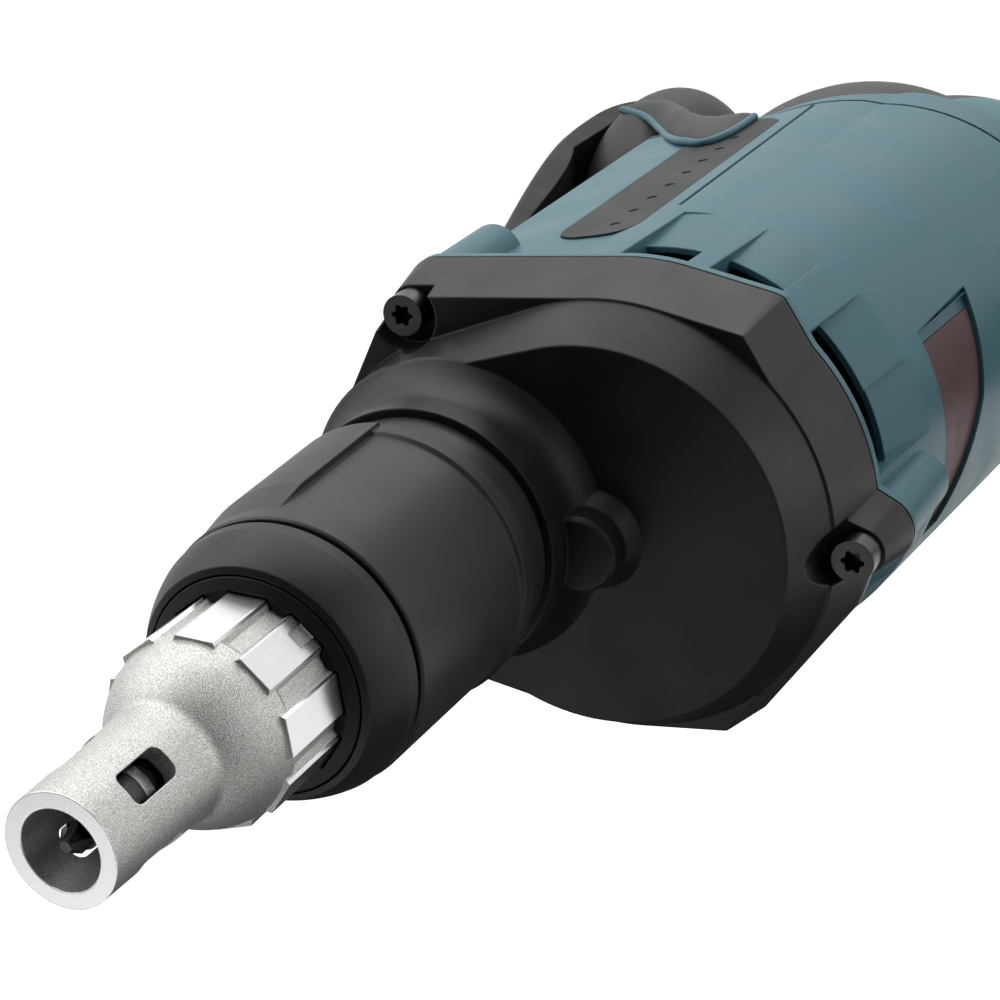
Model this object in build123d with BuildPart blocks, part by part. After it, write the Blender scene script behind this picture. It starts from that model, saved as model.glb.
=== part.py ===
from build123d import *
import os
from math import acos, atan2, cos, hypot, pi, radians, sin, sqrt, tan

# Drywall screwdriver, in millimetres.
# X runs back along the spindle, Y is the tool's top and Z its left side.
# The origin is on the spindle axis at the front shoulder of the gear case collar.

# Clearances
SLIDE_GAP = 0.3          # parts that slide or turn past one another
RUN_GAP = 0.04           # a shaft in its bush
FIT_GAP = 0.02           # parts pushed together
SEAM_GAP = 0.9           # open line between two housings
CLEAR = 60.0             # half width of a cut that goes past both sides of the tool

# Gear pair
MODULE = 1.0
PINION_TEETH = 9
WHEEL_TEETH = 36
PRESSURE_ANGLE = radians(20)
TOOTH_SHIFT = 0.3        # profile shift of the pinion; the wheel has the same shift inwards
ADDENDUM = 0.8
DEDENDUM = 1.0
BACKLASH = 0.15          # on each flank
FLANK_POINTS = 4
MOTOR_DROP = MODULE * (PINION_TEETH + WHEEL_TEETH) / 2

# Depth-stop nose
NOSE_REACH = 96.4        # tip of the nose to the collar shoulder
NOSE_LENGTH = 72.0
NOSE_BORE = 5.6
NOSE_TIP_RADIUS = 7.85
NECK_OF_NOSE = (22.8, 8.35)      # corner between tube and ball: distance from the tip, radius
NECK_FILLET = 2.0
BALL_MIDDLE = (26.8, 11.4)
BALL_END = 33.0
BALL_DROP = 0.3          # the ball ends this far below the flats of the ribs
NOSE_TUBE_GAP = 0.56     # inside of the nose to the bearing tube
NOSE_WALL = 1.6          # between the flutes and the inside
RIB_COUNT = 9
RIB_START = 31.5
RIB_WIDTH = 5.5          # flat of a rib
RIB_FOOT = 6.7           # a rib at its foot
FLUTE_DEPTH = 1.0
RIB_ANGLE = 90.0         # of the first rib, from the tool's top towards its left
NOTCH_PLACE = 43.4       # index notch in the second rib, from the tip to its middle
NOTCH_SIZE = (3.2, 2.4)
NOTCH_DEPTH = 0.6
WINDOW_COUNT = 4
WINDOW_ANGLE = 132.5
WINDOW_START = 6.6
WINDOW_LENGTH = 9.0
WINDOW_WIDTH = 4.7
WINDOW_ROUND = 1.2

# Adjusting ring, carrier and neck sleeve
RING_LENGTH = 10.2
RING_SEAT = 40.8         # collar shoulder to the ring's rear edge
SKIRT_LENGTH = 6.3
SKIRT_WALL = 1.5
CARRIER_WALL = 1.9
CARRIER_FLANGE_WALL = 1.4
CARRIER_FLANGE_LENGTH = 9.0
CARRIER_REAR = -22.0
DEPTH_TRAVEL = 3.0       # each way from the middle
KEY_WIDTH = 5.0
KEY_HEIGHT = 1.2
NECK_WALL = 2.3
NECK_SWELL = 0.5         # growth in radius from front to rear
SADDLE_HEIGHT = 1.1      # raised top of the sleeve
SADDLE_ANGLE = 82.0      # reach of the raised top to each side
CLIP_THICK = 1.4
CLIP_ANGLE = 320.0
COLLAR_LENGTH = 11.7
COLLAR_STEP = 0.9
COLLAR_FLARE = 1.7
COLLAR_LAND = 5.0        # straight part of the collar

# Spindle, bit and holder
SPINDLE_RADIUS = 7.0
SPINDLE_FRONT = -40.0
JOURNAL_RADIUS = 5.0
HEX_SIZE = 6.35          # quarter inch across the flats
HEX_GAP = 0.06
SOCKET_DEPTH = 21.0
BUSH_WALL = 2.0
TUBE_WALL = 1.4          # bearing tube round the front bush
BUSH_FRONT = -27.5
BUSH_REAR = -5.0
BIT_SETBACK = 1.0        # tip of the bit behind the tip of the nose
BIT_LENGTH = 25.0
HOLDER_FRONT = -87.0
HOLDER_REAR = -54.0
HOLDER_RADIUS = 4.9
MAGNET_RADIUS = 2.5
MAGNET_LENGTH = 3.4
CLUTCH_RADIUS = 13.0
CLUTCH_FLANGE = 4.0
DOG_COUNT = 3
DOG_ANGLE = 34.0
DOG_HEIGHT = 2.2
DOG_INNER = 9.6
PUSH_TRAVEL = 2.0

# Gear case
CASE_DEPTH = 21.4        # front face to rear face
CASE_SLOPE = 8.3         # sloped part behind the front face
CASE_LEDGE = 0.8         # the flange stands this far out of the barrel
CASE_SLOPE_REACH = 7.0   # from the edge of the front face out to the flange
CASE_TOP_MARGIN = 9.7    # tips of the wheel's teeth to the outside
CASE_RIM_STEP = 0.4      # the flange stands this far out of the sloped part
CASE_DRAFT = 2.4         # the flange draws in this far towards its front edge
CASE_CORNER_REACH = 2.7  # the lower corners stand this far out of the flange
CASE_CORNER_ANGLE = 122.0
CASE_CORNER_ROUND = 6.0
CASE_FLAT_DEPTH = 0.9    # flats between the lower corners and the lower screw
CASE_FLAT_ANGLE = 146.0
CASE_FLAT_LENGTH = 36.0
CASE_FLAT_SHIFT = 6.0    # middle of a flat towards its corner
UPPER_SCREW_HEIGHT = 13.2
UPPER_SCREW_INSET = 1.0  # inside the case's top radius
LOWER_SCREW_DROP = 1.0   # below the barrel
SCREW_BOSS_RADIUS = 5.4
SCREW_POCKET_RADIUS = 5.6    # wider than the boss, so the pocket is open to the side
SCREW_HEAD_RADIUS = 3.3
SCREW_HEAD_HEIGHT = 4.0
SCREW_RADIUS = 2.0
SCREW_SEAT = 24.0
SCREW_REACH = 28.0
TORX_RADIUS = 1.35       # drive recess of the gear case screws
TORX_LOBE = 0.45
TORX_DEPTH = 2.4
BOSS_RADIUS = 6.0        # round boss over the pinion bush
BOSS_FRONT = 5.0
PLATE_THICK = 5.1
WASHER_THICK = 2.2
WHEEL_WIDTH = 8.2
GASKET = 0.5

# Motor
HOUSING_RADIUS = 36.5
HOUSING_WALL = 3.5
HOUSING_RIM = 1.6
FLARE_SLOPE = 0.075      # the barrel's underside falls away towards the handle
FLARE_START = 3.0
SHAFT_RADIUS = 4.0
CORE_SEAT_RADIUS = 5.0
ARMATURE_RADIUS = 19.2
AIR_GAP = 0.4
STATOR_LENGTH = 40.0
STATOR_RIB = 2.6
STATOR_SLOTS = 12
FAN_RADIUS = 29.0
FAN_BLADES = 12
COMMUTATOR_RADIUS = 11.5
COMMUTATOR_LENGTH = 13.0
COMMUTATOR_BARS = 22
BRUSH_WIDTH = 7.5
BRUSH_THICK = 5.5
BALL_COUNT = 7
SHOULDER_LOW = (-12.4, HOUSING_RADIUS - 1.9)     # corners of the housing's upper shoulders
SHOULDER_MIDDLE = (4.0, HOUSING_RADIUS - 5.9)
SHOULDER_TOP = (16.5, HOUSING_RADIUS - 9.9)
DOME_TOP = 23.0
VENTS = (                # two angles, slot length and depth of the ramp's front edge
    (78.0, 96.0, 10.5, 1.3),
    (101.5, 118.0, 10.5, 1.3),
    (130.0, 150.0, 9.4, 1.3),
    (149.5, 169.0, 10.8, 1.9),
)
VENT_RAMP = 14.5
VENT_LIP = 1.0           # thickness of a ramp at its front edge
VENT_UNDERCUT = 6.0
LABEL_ANGLE = 170.0      # where the label's recess faces, from the top towards the left
LABEL_OUTLINE = (        # distance from the housing's front, and round the barrel from that angle
    (33.3, -14.6),
    (56.0, -15.5),
    (51.5, 2.0),
    (40.0, 20.0),
    (33.3, 20.0),
)
LABEL_RECESS = 1.2
LABEL_THICK = 0.4
LABEL_EDGE = 0.4         # bare border round the label
LABEL_HEAD = 2.4         # bare border above it
PANEL_LINE_ANGLE = 76.3  # fine groove beside the side strip
PANEL_LINE_ARC = 1.2
PANEL_LINE_DEPTH = 0.6
PANEL_LINE_START = 32.0  # from the housing's front
PANEL_LINE_LENGTH = 68.0
STRIP_WIDTH = 14.0
STRIP_LENGTH = 76.0
STRIP_PROUD = 0.35
STRIP_GAP = 0.15         # all round the strip in its recess
DIMPLE_PITCH = 8.0
DIMPLE_RADIUS = 0.9
DIMPLE_DEPTH = 0.2

# Handle
HANDLE_WALL = 3.0
HANDLE_BOTTOM = -160.0
HANDLE_HALF_WIDTH = 18.5
HANDLE_ROUND = 11.0
HUMP_RADIUS = 27.4       # round hump behind the barrel, seen from above
HUMP_HEIGHT = 18.1       # half its height before the hook's seat is cut
PALM_RADIUS = 34.7       # round swell where the handle leaves the barrel
GRIP_THICK = 1.6
TRIGGER_WIDTH = 15.0
TRIGGER_TOP = -77.0
TRIGGER_BOTTOM = -105.0
TRIGGER_TRAVEL = 7.0
LOCK_RADIUS = 5.0
LOCK_TRAVEL = 2.5
SLIDER_TRAVEL = 3.0
HOOK_HALF_WIDTH = 20.0
HOOK_SEAT = 36.0
HOOK_SCREW_SPACING = 18.0
HOOK_ROUND = 1.7
CABLE_RADIUS = 4.3

# Stations along the spindle that follow from the sizes above
PINION_TIP = MODULE * (PINION_TEETH / 2 + ADDENDUM + TOOTH_SHIFT)
WHEEL_TIP = MODULE * (WHEEL_TEETH / 2 + ADDENDUM - TOOTH_SHIFT)
CASE_RIM_RADIUS = HOUSING_RADIUS + CASE_LEDGE        # about the motor axis
CASE_FACE_RADIUS = CASE_RIM_RADIUS - CASE_SLOPE_REACH
CASE_CORNER = CASE_RIM_RADIUS + CASE_CORNER_REACH
CASE_TOP_RADIUS = WHEEL_TIP + CASE_TOP_MARGIN        # about the spindle
SCREW_SPOTS = (
    (UPPER_SCREW_HEIGHT, CASE_TOP_RADIUS - UPPER_SCREW_INSET),
    (UPPER_SCREW_HEIGHT, UPPER_SCREW_INSET - CASE_TOP_RADIUS),
    (-MOTOR_DROP - HOUSING_RADIUS - LOWER_SCREW_DROP, 0.0),
)
FACE = COLLAR_LENGTH
CASE_RIM = FACE + CASE_SLOPE
CASE_REAR = FACE + CASE_DEPTH
PLATE_FRONT = CASE_REAR - PLATE_THICK
WASHER_FRONT = PLATE_FRONT - SLIDE_GAP - WASHER_THICK
WHEEL_REAR = WASHER_FRONT - 0.1
WHEEL_FRONT = WHEEL_REAR - WHEEL_WIDTH
WHEEL_DOG_FRONT = WHEEL_FRONT - DOG_HEIGHT
CLUTCH_REAR = WHEEL_DOG_FRONT - SLIDE_GAP - PUSH_TRAVEL - DOG_HEIGHT
CLUTCH_FRONT = CLUTCH_REAR - CLUTCH_FLANGE
CLUTCH_SPACE = CLUTCH_FRONT - 0.9
GEAR_SPACE = WHEEL_FRONT - 1.9
HOUSING_FRONT = CASE_REAR + GASKET
BEARING_FRONT = CASE_REAR + 0.9
BEARING_WIDTH = 7.0
FAN_FRONT = CASE_REAR + 9.9
FAN_REAR = FAN_FRONT + 9.0
STATOR_FRONT = FAN_REAR + 6.0
STATOR_REAR = STATOR_FRONT + STATOR_LENGTH
COMMUTATOR_FRONT = STATOR_REAR + 7.0
COMMUTATOR_REAR = COMMUTATOR_FRONT + COMMUTATOR_LENGTH
BRUSH_STATION = COMMUTATOR_FRONT + COMMUTATOR_LENGTH / 2 + 0.5
CARRIER_PLATE_FRONT = COMMUTATOR_REAR + 1.8
BACK = CARRIER_PLATE_FRONT + 3.2         # front of the housing's rear wall
REAR_BEARING_WIDTH = 6.0

HUMP_CENTRE = (BACK + 38.0, HOOK_SEAT - 12.5)
PALM_CENTRE = (BACK + 28.0, -MOTOR_DROP - 15.5, 0.0)

# Radii that follow from one another, from the nose outwards
BUSH_RADIUS = SPINDLE_RADIUS + RUN_GAP + BUSH_WALL
TUBE_RADIUS = BUSH_RADIUS + TUBE_WALL
NOSE_CAVITY_RADIUS = TUBE_RADIUS + NOSE_TUBE_GAP
FLUTE_RADIUS = NOSE_CAVITY_RADIUS + NOSE_WALL
RIB_FLAT = FLUTE_RADIUS + FLUTE_DEPTH    # axis to the flat of a rib
RIB_CORNER = hypot(RIB_FLAT, RIB_WIDTH / 2)
CARRIER_RADIUS = RIB_FLAT + SLIDE_GAP + CARRIER_WALL
RING_BORE = CARRIER_RADIUS + SLIDE_GAP
SKIRT_RADIUS = RING_BORE + SKIRT_WALL
NECK_MOUTH = SKIRT_RADIUS + SLIDE_GAP
CARRIER_FLANGE_RADIUS = CARRIER_RADIUS + CARRIER_FLANGE_WALL
NECK_BORE = CARRIER_FLANGE_RADIUS + SLIDE_GAP
NECK_RADIUS = NECK_MOUTH + NECK_WALL
COLLAR_RADIUS = NECK_RADIUS + COLLAR_STEP
COLLAR_REAR_RADIUS = COLLAR_RADIUS + COLLAR_FLARE
SPIGOT_RADIUS = NECK_BORE - FIT_GAP
SPIGOT_LENGTH = 14.0
TUBE_FRONT = BUSH_FRONT - 0.5
CAVITY_RADIUS = HOUSING_RADIUS - HOUSING_WALL
STATOR_RADIUS = CAVITY_RADIUS - STATOR_RIB
STATOR_BORE = ARMATURE_RADIUS + AIR_GAP
CARRIER_FLANGE_FRONT = CARRIER_REAR - CARRIER_FLANGE_LENGTH

SPINDLE_AXIS = Axis((0, 0, 0), (1, 0, 0))
MOTOR_AXIS = Axis((0, -MOTOR_DROP, 0), (1, 0, 0))
MOTOR_CENTRE = (-MOTOR_DROP, 0.0)
SPINDLE_CENTRE = (0.0, 0.0)
FLARE_AXIS = Axis((HOUSING_FRONT, -MOTOR_DROP, 0), (1, -FLARE_SLOPE, 0))


def across(station):
    """Plane square to the spindle; local x is the tool's Y and local y its Z."""
    return Plane.YZ.offset(station)


def beside(axis, angle=0.0):
    """Plane through an axis; local x runs along it and local y is the radius at an angle from the top."""
    along = axis.direction
    up = Vector(-along.Y, along.X, 0)
    outward = up * cos(radians(angle)) + Vector(0, 0, 1) * sin(radians(angle))
    return Plane(origin=axis.position, x_dir=along, z_dir=along.cross(outward))


def band(front, rear, outer, inner=0.0):
    """Half section of a plain disc or tube."""
    return ((front, inner), (rear, inner), (rear, outer), (front, outer))


def turned(points, axis=SPINDLE_AXIS, start=0.0, arc=360.0, mode=Mode.ADD):
    """Turn a half section of (distance along, radius) points about an axis."""
    with BuildSketch(beside(axis, start)) as section:
        with BuildLine():
            Polyline(*points, close=True)
        make_face()
    revolve(section.sketch, axis=axis, revolution_arc=arc, mode=mode)


def rod(front, rear, radius, spot=SPINDLE_CENTRE, mode=Mode.ADD):
    """Round bar along X at a (Y, Z) spot."""
    with BuildSketch(across(front)) as end:
        with Locations(spot):
            Circle(radius)
    extrude(end.sketch, amount=rear - front, mode=mode)


def pin(start, direction, length, radius, mode=Mode.ADD):
    """Round bar from a point in any direction."""
    with BuildSketch(Plane(origin=start, z_dir=direction)) as end:
        Circle(radius)
    extrude(end.sketch, amount=length, mode=mode)


def block(low, high, mode=Mode.ADD):
    """Box between two opposite corners."""
    middle = tuple((a + b) / 2 for a, b in zip(low, high))
    size = tuple(b - a for a, b in zip(low, high))
    with Locations(middle):
        Box(*size, mode=mode)


def side_plate(points, half_width, mode=Mode.ADD):
    """Side outline of (X, Y) points carried equally to left and right."""
    with BuildSketch(Plane.XY) as outline:
        with BuildLine():
            Polyline(*points, close=True)
        make_face()
    extrude(outline.sketch, amount=half_width, both=True, mode=mode)


def slab(outline, thickness, mode=Mode.ADD):
    """Plate along X from an outline drawn on a plane square to the spindle."""
    extrude(outline, amount=thickness, mode=mode)


def strap_points(centre_a, radius_a, centre_b, radius_b):
    """Four points where the two outer tangents touch a pair of circles."""
    step = (centre_b[0] - centre_a[0], centre_b[1] - centre_a[1])
    heading = atan2(step[1], step[0])
    spread = acos((radius_a - radius_b) / hypot(*step))
    points = []
    for centre, radius, sign in (
        (centre_a, radius_a, 1),
        (centre_b, radius_b, 1),
        (centre_b, radius_b, -1),
        (centre_a, radius_a, -1),
    ):
        angle = heading + sign * spread
        points.append((centre[0] + radius * cos(angle), centre[1] + radius * sin(angle)))
    return points


def wrap(centre_a, radius_a, centre_b, radius_b):
    """Add to the open sketch an outline wrapped tightly round two circles."""
    first, second, third, fourth = strap_points(centre_a, radius_a, centre_b, radius_b)
    reach = hypot(centre_b[0] - centre_a[0], centre_b[1] - centre_a[1])
    away = ((centre_b[0] - centre_a[0]) / reach, (centre_b[1] - centre_a[1]) / reach)
    tip_a = (centre_a[0] - radius_a * away[0], centre_a[1] - radius_a * away[1])
    tip_b = (centre_b[0] + radius_b * away[0], centre_b[1] + radius_b * away[1])
    with BuildLine() as edge:
        Line(first, second)
        ThreePointArc(second, tip_b, third)
        Line(third, fourth)
        ThreePointArc(fourth, tip_a, first)
    make_face(edge.edges())


def strap(station, centre_a, radius_a, centre_b, radius_b):
    """Outline round two circles on a plane square to the spindle."""
    with BuildSketch(across(station)) as outline:
        wrap(centre_a, radius_a, centre_b, radius_b)
    return outline.sketch


def corner_wrap(side, inset):
    """Add to the open sketch one lower corner of the flange."""
    turn = side * radians(CASE_CORNER_ANGLE)
    middle = CASE_CORNER - CASE_CORNER_ROUND
    corner = (MOTOR_CENTRE[0] + middle * cos(turn), middle * sin(turn))
    wrap(MOTOR_CENTRE, CASE_RIM_RADIUS - inset, corner, CASE_CORNER_ROUND - inset)


def corner_flat(side, inset):
    """Cut from the open sketch the flat between a lower corner and the lower screw."""
    turn = side * radians(CASE_FLAT_ANGLE)
    outward = (cos(turn), sin(turn))
    along = (side * sin(turn), -side * cos(turn))
    reach = CASE_RIM_RADIUS - CASE_FLAT_DEPTH - inset + CASE_CORNER / 2
    height = MOTOR_CENTRE[0] + reach * outward[0] + CASE_FLAT_SHIFT * along[0]
    width = reach * outward[1] + CASE_FLAT_SHIFT * along[1]
    with Locations(Location((height, width, 0), (0, 0, side * CASE_FLAT_ANGLE))):
        Rectangle(CASE_CORNER, CASE_FLAT_LENGTH, mode=Mode.SUBTRACT)


def case_outline(station, inset=0.0):
    """Flange outline that the gear case, the gasket and the housing's front rim share."""
    rim = CASE_RIM_RADIUS - inset
    top = CASE_TOP_RADIUS - inset
    boss = SCREW_BOSS_RADIUS - inset
    with BuildSketch(across(station)) as outline:
        wrap(MOTOR_CENTRE, rim, SPINDLE_CENTRE, top)
        for spot in SCREW_SPOTS[:2]:
            wrap(MOTOR_CENTRE, rim, spot, boss)
            wrap(SPINDLE_CENTRE, top, spot, boss)
        for side in (1, -1):
            corner_wrap(side, inset)
            corner_flat(side, inset)
        root = (SCREW_SPOTS[2][0] + 1.7 * SCREW_BOSS_RADIUS, 0.0)
        wrap(root, 1.7 * boss, SCREW_SPOTS[2], boss)
    return outline.sketch


def gear_outline(station, teeth, shift, centre, first_tooth):
    """Involute gear outline with one tooth centred at the given angle."""
    pitch = MODULE * teeth / 2
    base = pitch * cos(PRESSURE_ANGLE)
    tip = pitch + MODULE * (ADDENDUM + shift)
    root = pitch - MODULE * (DEDENDUM - shift)
    involute = tan(PRESSURE_ANGLE) - PRESSURE_ANGLE
    pitch_half = pi / (2 * teeth) + 2 * shift * tan(PRESSURE_ANGLE) / teeth + involute
    flank_start = max(base, root)

    def half_angle(radius):
        slope = acos(min(1.0, base / radius))
        return pitch_half - (tan(slope) - slope) - BACKLASH / radius

    def at(radius, angle):
        return (centre[0] + radius * cos(angle), centre[1] + radius * sin(angle))

    steps = [k / (FLANK_POINTS - 1) for k in range(FLANK_POINTS)]
    radii = [flank_start + (tip - flank_start) * step ** 2 for step in steps]
    with BuildSketch(across(station)) as outline:
        with BuildLine():
            for tooth in range(teeth):
                middle = radians(first_tooth) + 2 * pi * tooth / teeth
                rising = [at(radius, middle - half_angle(radius)) for radius in radii]
                falling = [at(radius, middle + half_angle(radius)) for radius in reversed(radii)]
                foot_half = half_angle(flank_start)
                foot_in = at(root, middle - foot_half)
                foot_out = at(root, middle + foot_half)
                next_foot = at(root, middle + 2 * pi / teeth - foot_half)
                Line(foot_in, rising[0])
                Spline(*rising)
                Line(rising[-1], falling[0])
                Spline(*falling)
                Line(falling[-1], foot_out)
                Line(foot_out, next_foot)
        make_face()
    return outline.sketch


def rib_outline(station, gap=0.0):
    """Ribbed section of the nose, grown by a gap for the bore it slides in."""
    with BuildSketch(across(station)) as outline:
        Circle(FLUTE_RADIUS + gap)
        top = RIB_FLAT + gap
        half_top = RIB_WIDTH / 2 + gap
        half_foot = RIB_FOOT / 2 + gap
        foot = sqrt((FLUTE_RADIUS + gap) ** 2 - half_foot ** 2) - FIT_GAP
        for rib in range(RIB_COUNT):
            with Locations(Location((0, 0, 0), (0, 0, RIB_ANGLE + 360 * rib / RIB_COUNT))):
                Polygon(
                    (0, 0),
                    (foot, -half_foot),
                    (top, -half_top),
                    (top, half_top),
                    (foot, half_foot),
                    align=None,
                )
    return outline.sketch


def coil(start, direction, length, radius, wire, turns):
    """Open wire spring."""
    with BuildPart() as spring:
        with BuildLine() as path:
            Helix(pitch=length / turns, height=length, radius=radius, center=start, direction=direction)
        with BuildSketch(Plane(origin=path.line @ 0, z_dir=path.line % 0)):
            Circle(wire)
        sweep(is_frenet=True)
    return spring.part


def ball_bearing(front, width, bore, outer, axis):
    """Two rings and a circle of balls."""
    middle = (bore + outer) / 2
    ring_wall = (outer - bore) * 0.28
    ball_radius = (outer - bore) / 2 - ring_wall - 0.1
    with BuildPart() as bearing:
        turned(band(front, front + width, bore + ring_wall, bore), axis)
        turned(band(front, front + width, outer, outer - ring_wall), axis)
        for ball in range(BALL_COUNT):
            angle = 2 * pi * ball / BALL_COUNT
            height = axis.position.Y + middle * cos(angle)
            with Locations((front + width / 2, height, middle * sin(angle))):
                Sphere(ball_radius)
    return bearing.part


def shoulder_face(inset=0.0, narrow=0.0):
    """Add to the open sketch the shouldered top of the barrel, drawn in and narrowed at its corners."""
    low = (SHOULDER_LOW[0], SHOULDER_LOW[1] - inset - 0.4 * narrow)
    middle = (SHOULDER_MIDDLE[0], SHOULDER_MIDDLE[1] - inset - narrow)
    top = (SHOULDER_TOP[0] - inset, SHOULDER_TOP[1] - inset - 0.7 * narrow)
    with BuildLine() as edge:
        Polyline(low, middle, top)
        ThreePointArc(top, (DOME_TOP - inset, 0), (top[0], -top[1]))
        Polyline((top[0], -top[1]), (middle[0], -middle[1]), (low[0], -low[1]), low)
    make_face(edge.edges())


def shoulder_outline(station, inset, narrow=0.0):
    """Shouldered top of the barrel on a plane square to the spindle."""
    with BuildSketch(across(station)) as outline:
        shoulder_face(inset, narrow)
    return outline.sketch


def housing_outline(station):
    """Section of the motor housing: a round barrel with a shouldered top."""
    with BuildSketch(across(station)) as outline:
        with Locations(MOTOR_CENTRE):
            Circle(HOUSING_RADIUS)
        shoulder_face()
    return outline.sketch


def seam_region(gap, far):
    """Side outline on one side of the line where the housing meets the handle."""
    high = HOOK_SEAT + 9
    low = -MOTOR_DROP - HOUSING_RADIUS - 16
    top = (BACK + 3 + gap, high)
    middle = (BACK + 8 + gap, 0)
    side = (BACK + 14 + gap, -MOTOR_DROP)
    end = (BACK + 15 + gap, low)
    return (top, middle, side, end, (far, low), (far, high))


def rear_body(inset):
    """Solid form of the rear body and handle, drawn in from its skin by the inset."""
    barrel = HOUSING_RADIUS - inset
    grip_half = HANDLE_HALF_WIDTH - inset
    start = BACK - 23
    bend = BACK + 8
    with BuildPart() as body:
        with BuildSketch(beside(MOTOR_AXIS)):
            with BuildLine():
                Polyline((start, 0), (start, barrel), (BACK + 23, barrel))
                ThreePointArc(
                    (BACK + 23, barrel),
                    (BACK + 47 - inset, 0.8 * barrel),
                    (BACK + 60 - inset, 0.38 * barrel),
                )
                Polyline((BACK + 60 - inset, 0.38 * barrel), (BACK + 60 - inset, 0), (start, 0))
            make_face()
        revolve(axis=MOTOR_AXIS)
        turned(band(start - HOUSING_FRONT, BACK + 24 - HOUSING_FRONT, barrel), FLARE_AXIS)
        with Locations(PALM_CENTRE):
            Sphere(PALM_RADIUS - inset)
        slab(shoulder_outline(start, inset), bend - start)
        loft(
            [
                shoulder_outline(bend, inset).face(),
                shoulder_outline(BACK + 30, inset, narrow=10).face(),
            ]
        )

    hump_axis = Axis((HUMP_CENTRE[0], HUMP_CENTRE[1], 0), (0, 1, 0))
    with BuildPart() as hump:
        with BuildSketch(Plane.XY):
            with Locations(HUMP_CENTRE):
                Ellipse(HUMP_RADIUS - inset, HUMP_HEIGHT - inset)
            with Locations((HUMP_CENTRE[0] - HUMP_RADIUS, HUMP_CENTRE[1])):
                Rectangle(2 * HUMP_RADIUS, 4 * HUMP_HEIGHT, mode=Mode.SUBTRACT)
        revolve(axis=hump_axis)
        block(
            (BACK - 10, HOOK_SEAT - inset, -HOOK_HALF_WIDTH - 10),
            (BACK + 80, HOOK_SEAT + 20, HOOK_HALF_WIDTH + 10),
            Mode.SUBTRACT,
        )

    with BuildPart() as handle:
        with BuildSketch(Plane.XY):
            with BuildLine():
                foot = HANDLE_BOTTOM + inset
                front_top = (BACK + 26 + inset, -44)
                back_top = (BACK + 57 - inset, -20)
                Spline(
                    front_top,
                    (BACK + 27 + inset, TRIGGER_BOTTOM + 9),
                    (BACK + 30 + inset, TRIGGER_BOTTOM - 15),
                    (BACK + 35 + inset, foot),
                )
                Line((BACK + 35 + inset, foot), (BACK + 75 - inset, foot))
                Spline(
                    (BACK + 75 - inset, foot),
                    (BACK + 68 - inset, TRIGGER_BOTTOM - 18),
                    (BACK + 60 - inset, TRIGGER_TOP - 3),
                    (BACK + 57 - inset, TRIGGER_TOP + 29),
                    back_top,
                )
                Line(back_top, front_top)
            make_face()
        extrude(amount=grip_half, both=True)
        fillet(handle.edges().filter_by(GeomType.BSPLINE), HANDLE_ROUND - inset)

    with BuildPart() as whole:
        add(body.part)
        add(hump.part)
        add(handle.part)
    return whole.part


# Depth-stop nose, measured from its tip
NOSE_TIP = -NOSE_REACH
NOSE_REAR = NOSE_TIP + NOSE_LENGTH
with BuildPart() as depth_stop_nose:
    with BuildSketch(Plane(origin=(NOSE_TIP, 0, 0), x_dir=(1, 0, 0), z_dir=(0, 0, 1))) as nose_section:
        with BuildLine():
            ball_end = (BALL_END, RIB_FLAT - BALL_DROP)
            Polyline((0, NOSE_BORE), (0, NOSE_TIP_RADIUS), NECK_OF_NOSE)
            ThreePointArc(NECK_OF_NOSE, BALL_MIDDLE, ball_end)
            Polyline(
                ball_end,
                (BALL_END + 1.2, FLUTE_RADIUS),
                (NOSE_LENGTH, FLUTE_RADIUS),
                (NOSE_LENGTH, NOSE_CAVITY_RADIUS),
                (BALL_END, NOSE_CAVITY_RADIUS),
                (NECK_OF_NOSE[0] - 1.6, NOSE_BORE),
                (0, NOSE_BORE),
            )
        make_face()
        fillet(nose_section.vertices().sort_by_distance(NECK_OF_NOSE)[0], NECK_FILLET)
    revolve(axis=SPINDLE_AXIS)
    slab(rib_outline(NOSE_TIP + RIB_START), NOSE_LENGTH - RIB_START)
    turned(band(NOSE_TIP + RIB_START - 1, NOSE_REAR + 1, NOSE_CAVITY_RADIUS), mode=Mode.SUBTRACT)
    for window in range(WINDOW_COUNT):
        turn = radians(WINDOW_ANGLE + 360 * window / WINDOW_COUNT)
        facing = Plane(origin=(NOSE_TIP, 0, 0), x_dir=(1, 0, 0), z_dir=(0, cos(turn), sin(turn)))
        with BuildSketch(facing):
            with Locations((WINDOW_START + WINDOW_LENGTH / 2, 0)):
                RectangleRounded(WINDOW_LENGTH, WINDOW_WIDTH, WINDOW_ROUND)
        extrude(amount=2 * NOSE_TIP_RADIUS, mode=Mode.SUBTRACT)
    notch_turn = radians(RIB_ANGLE + 360 / RIB_COUNT)
    notch_side = Plane(origin=(NOSE_TIP, 0, 0), x_dir=(1, 0, 0), z_dir=(0, cos(notch_turn), sin(notch_turn)))
    with BuildSketch(notch_side.offset(RIB_FLAT - NOTCH_DEPTH)):
        with Locations((NOTCH_PLACE, 0)):
            Rectangle(*NOTCH_SIZE)
    extrude(amount=2 * NOTCH_DEPTH, mode=Mode.SUBTRACT)
depth_stop_nose.part.label = "depth_stop_nose"

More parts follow.
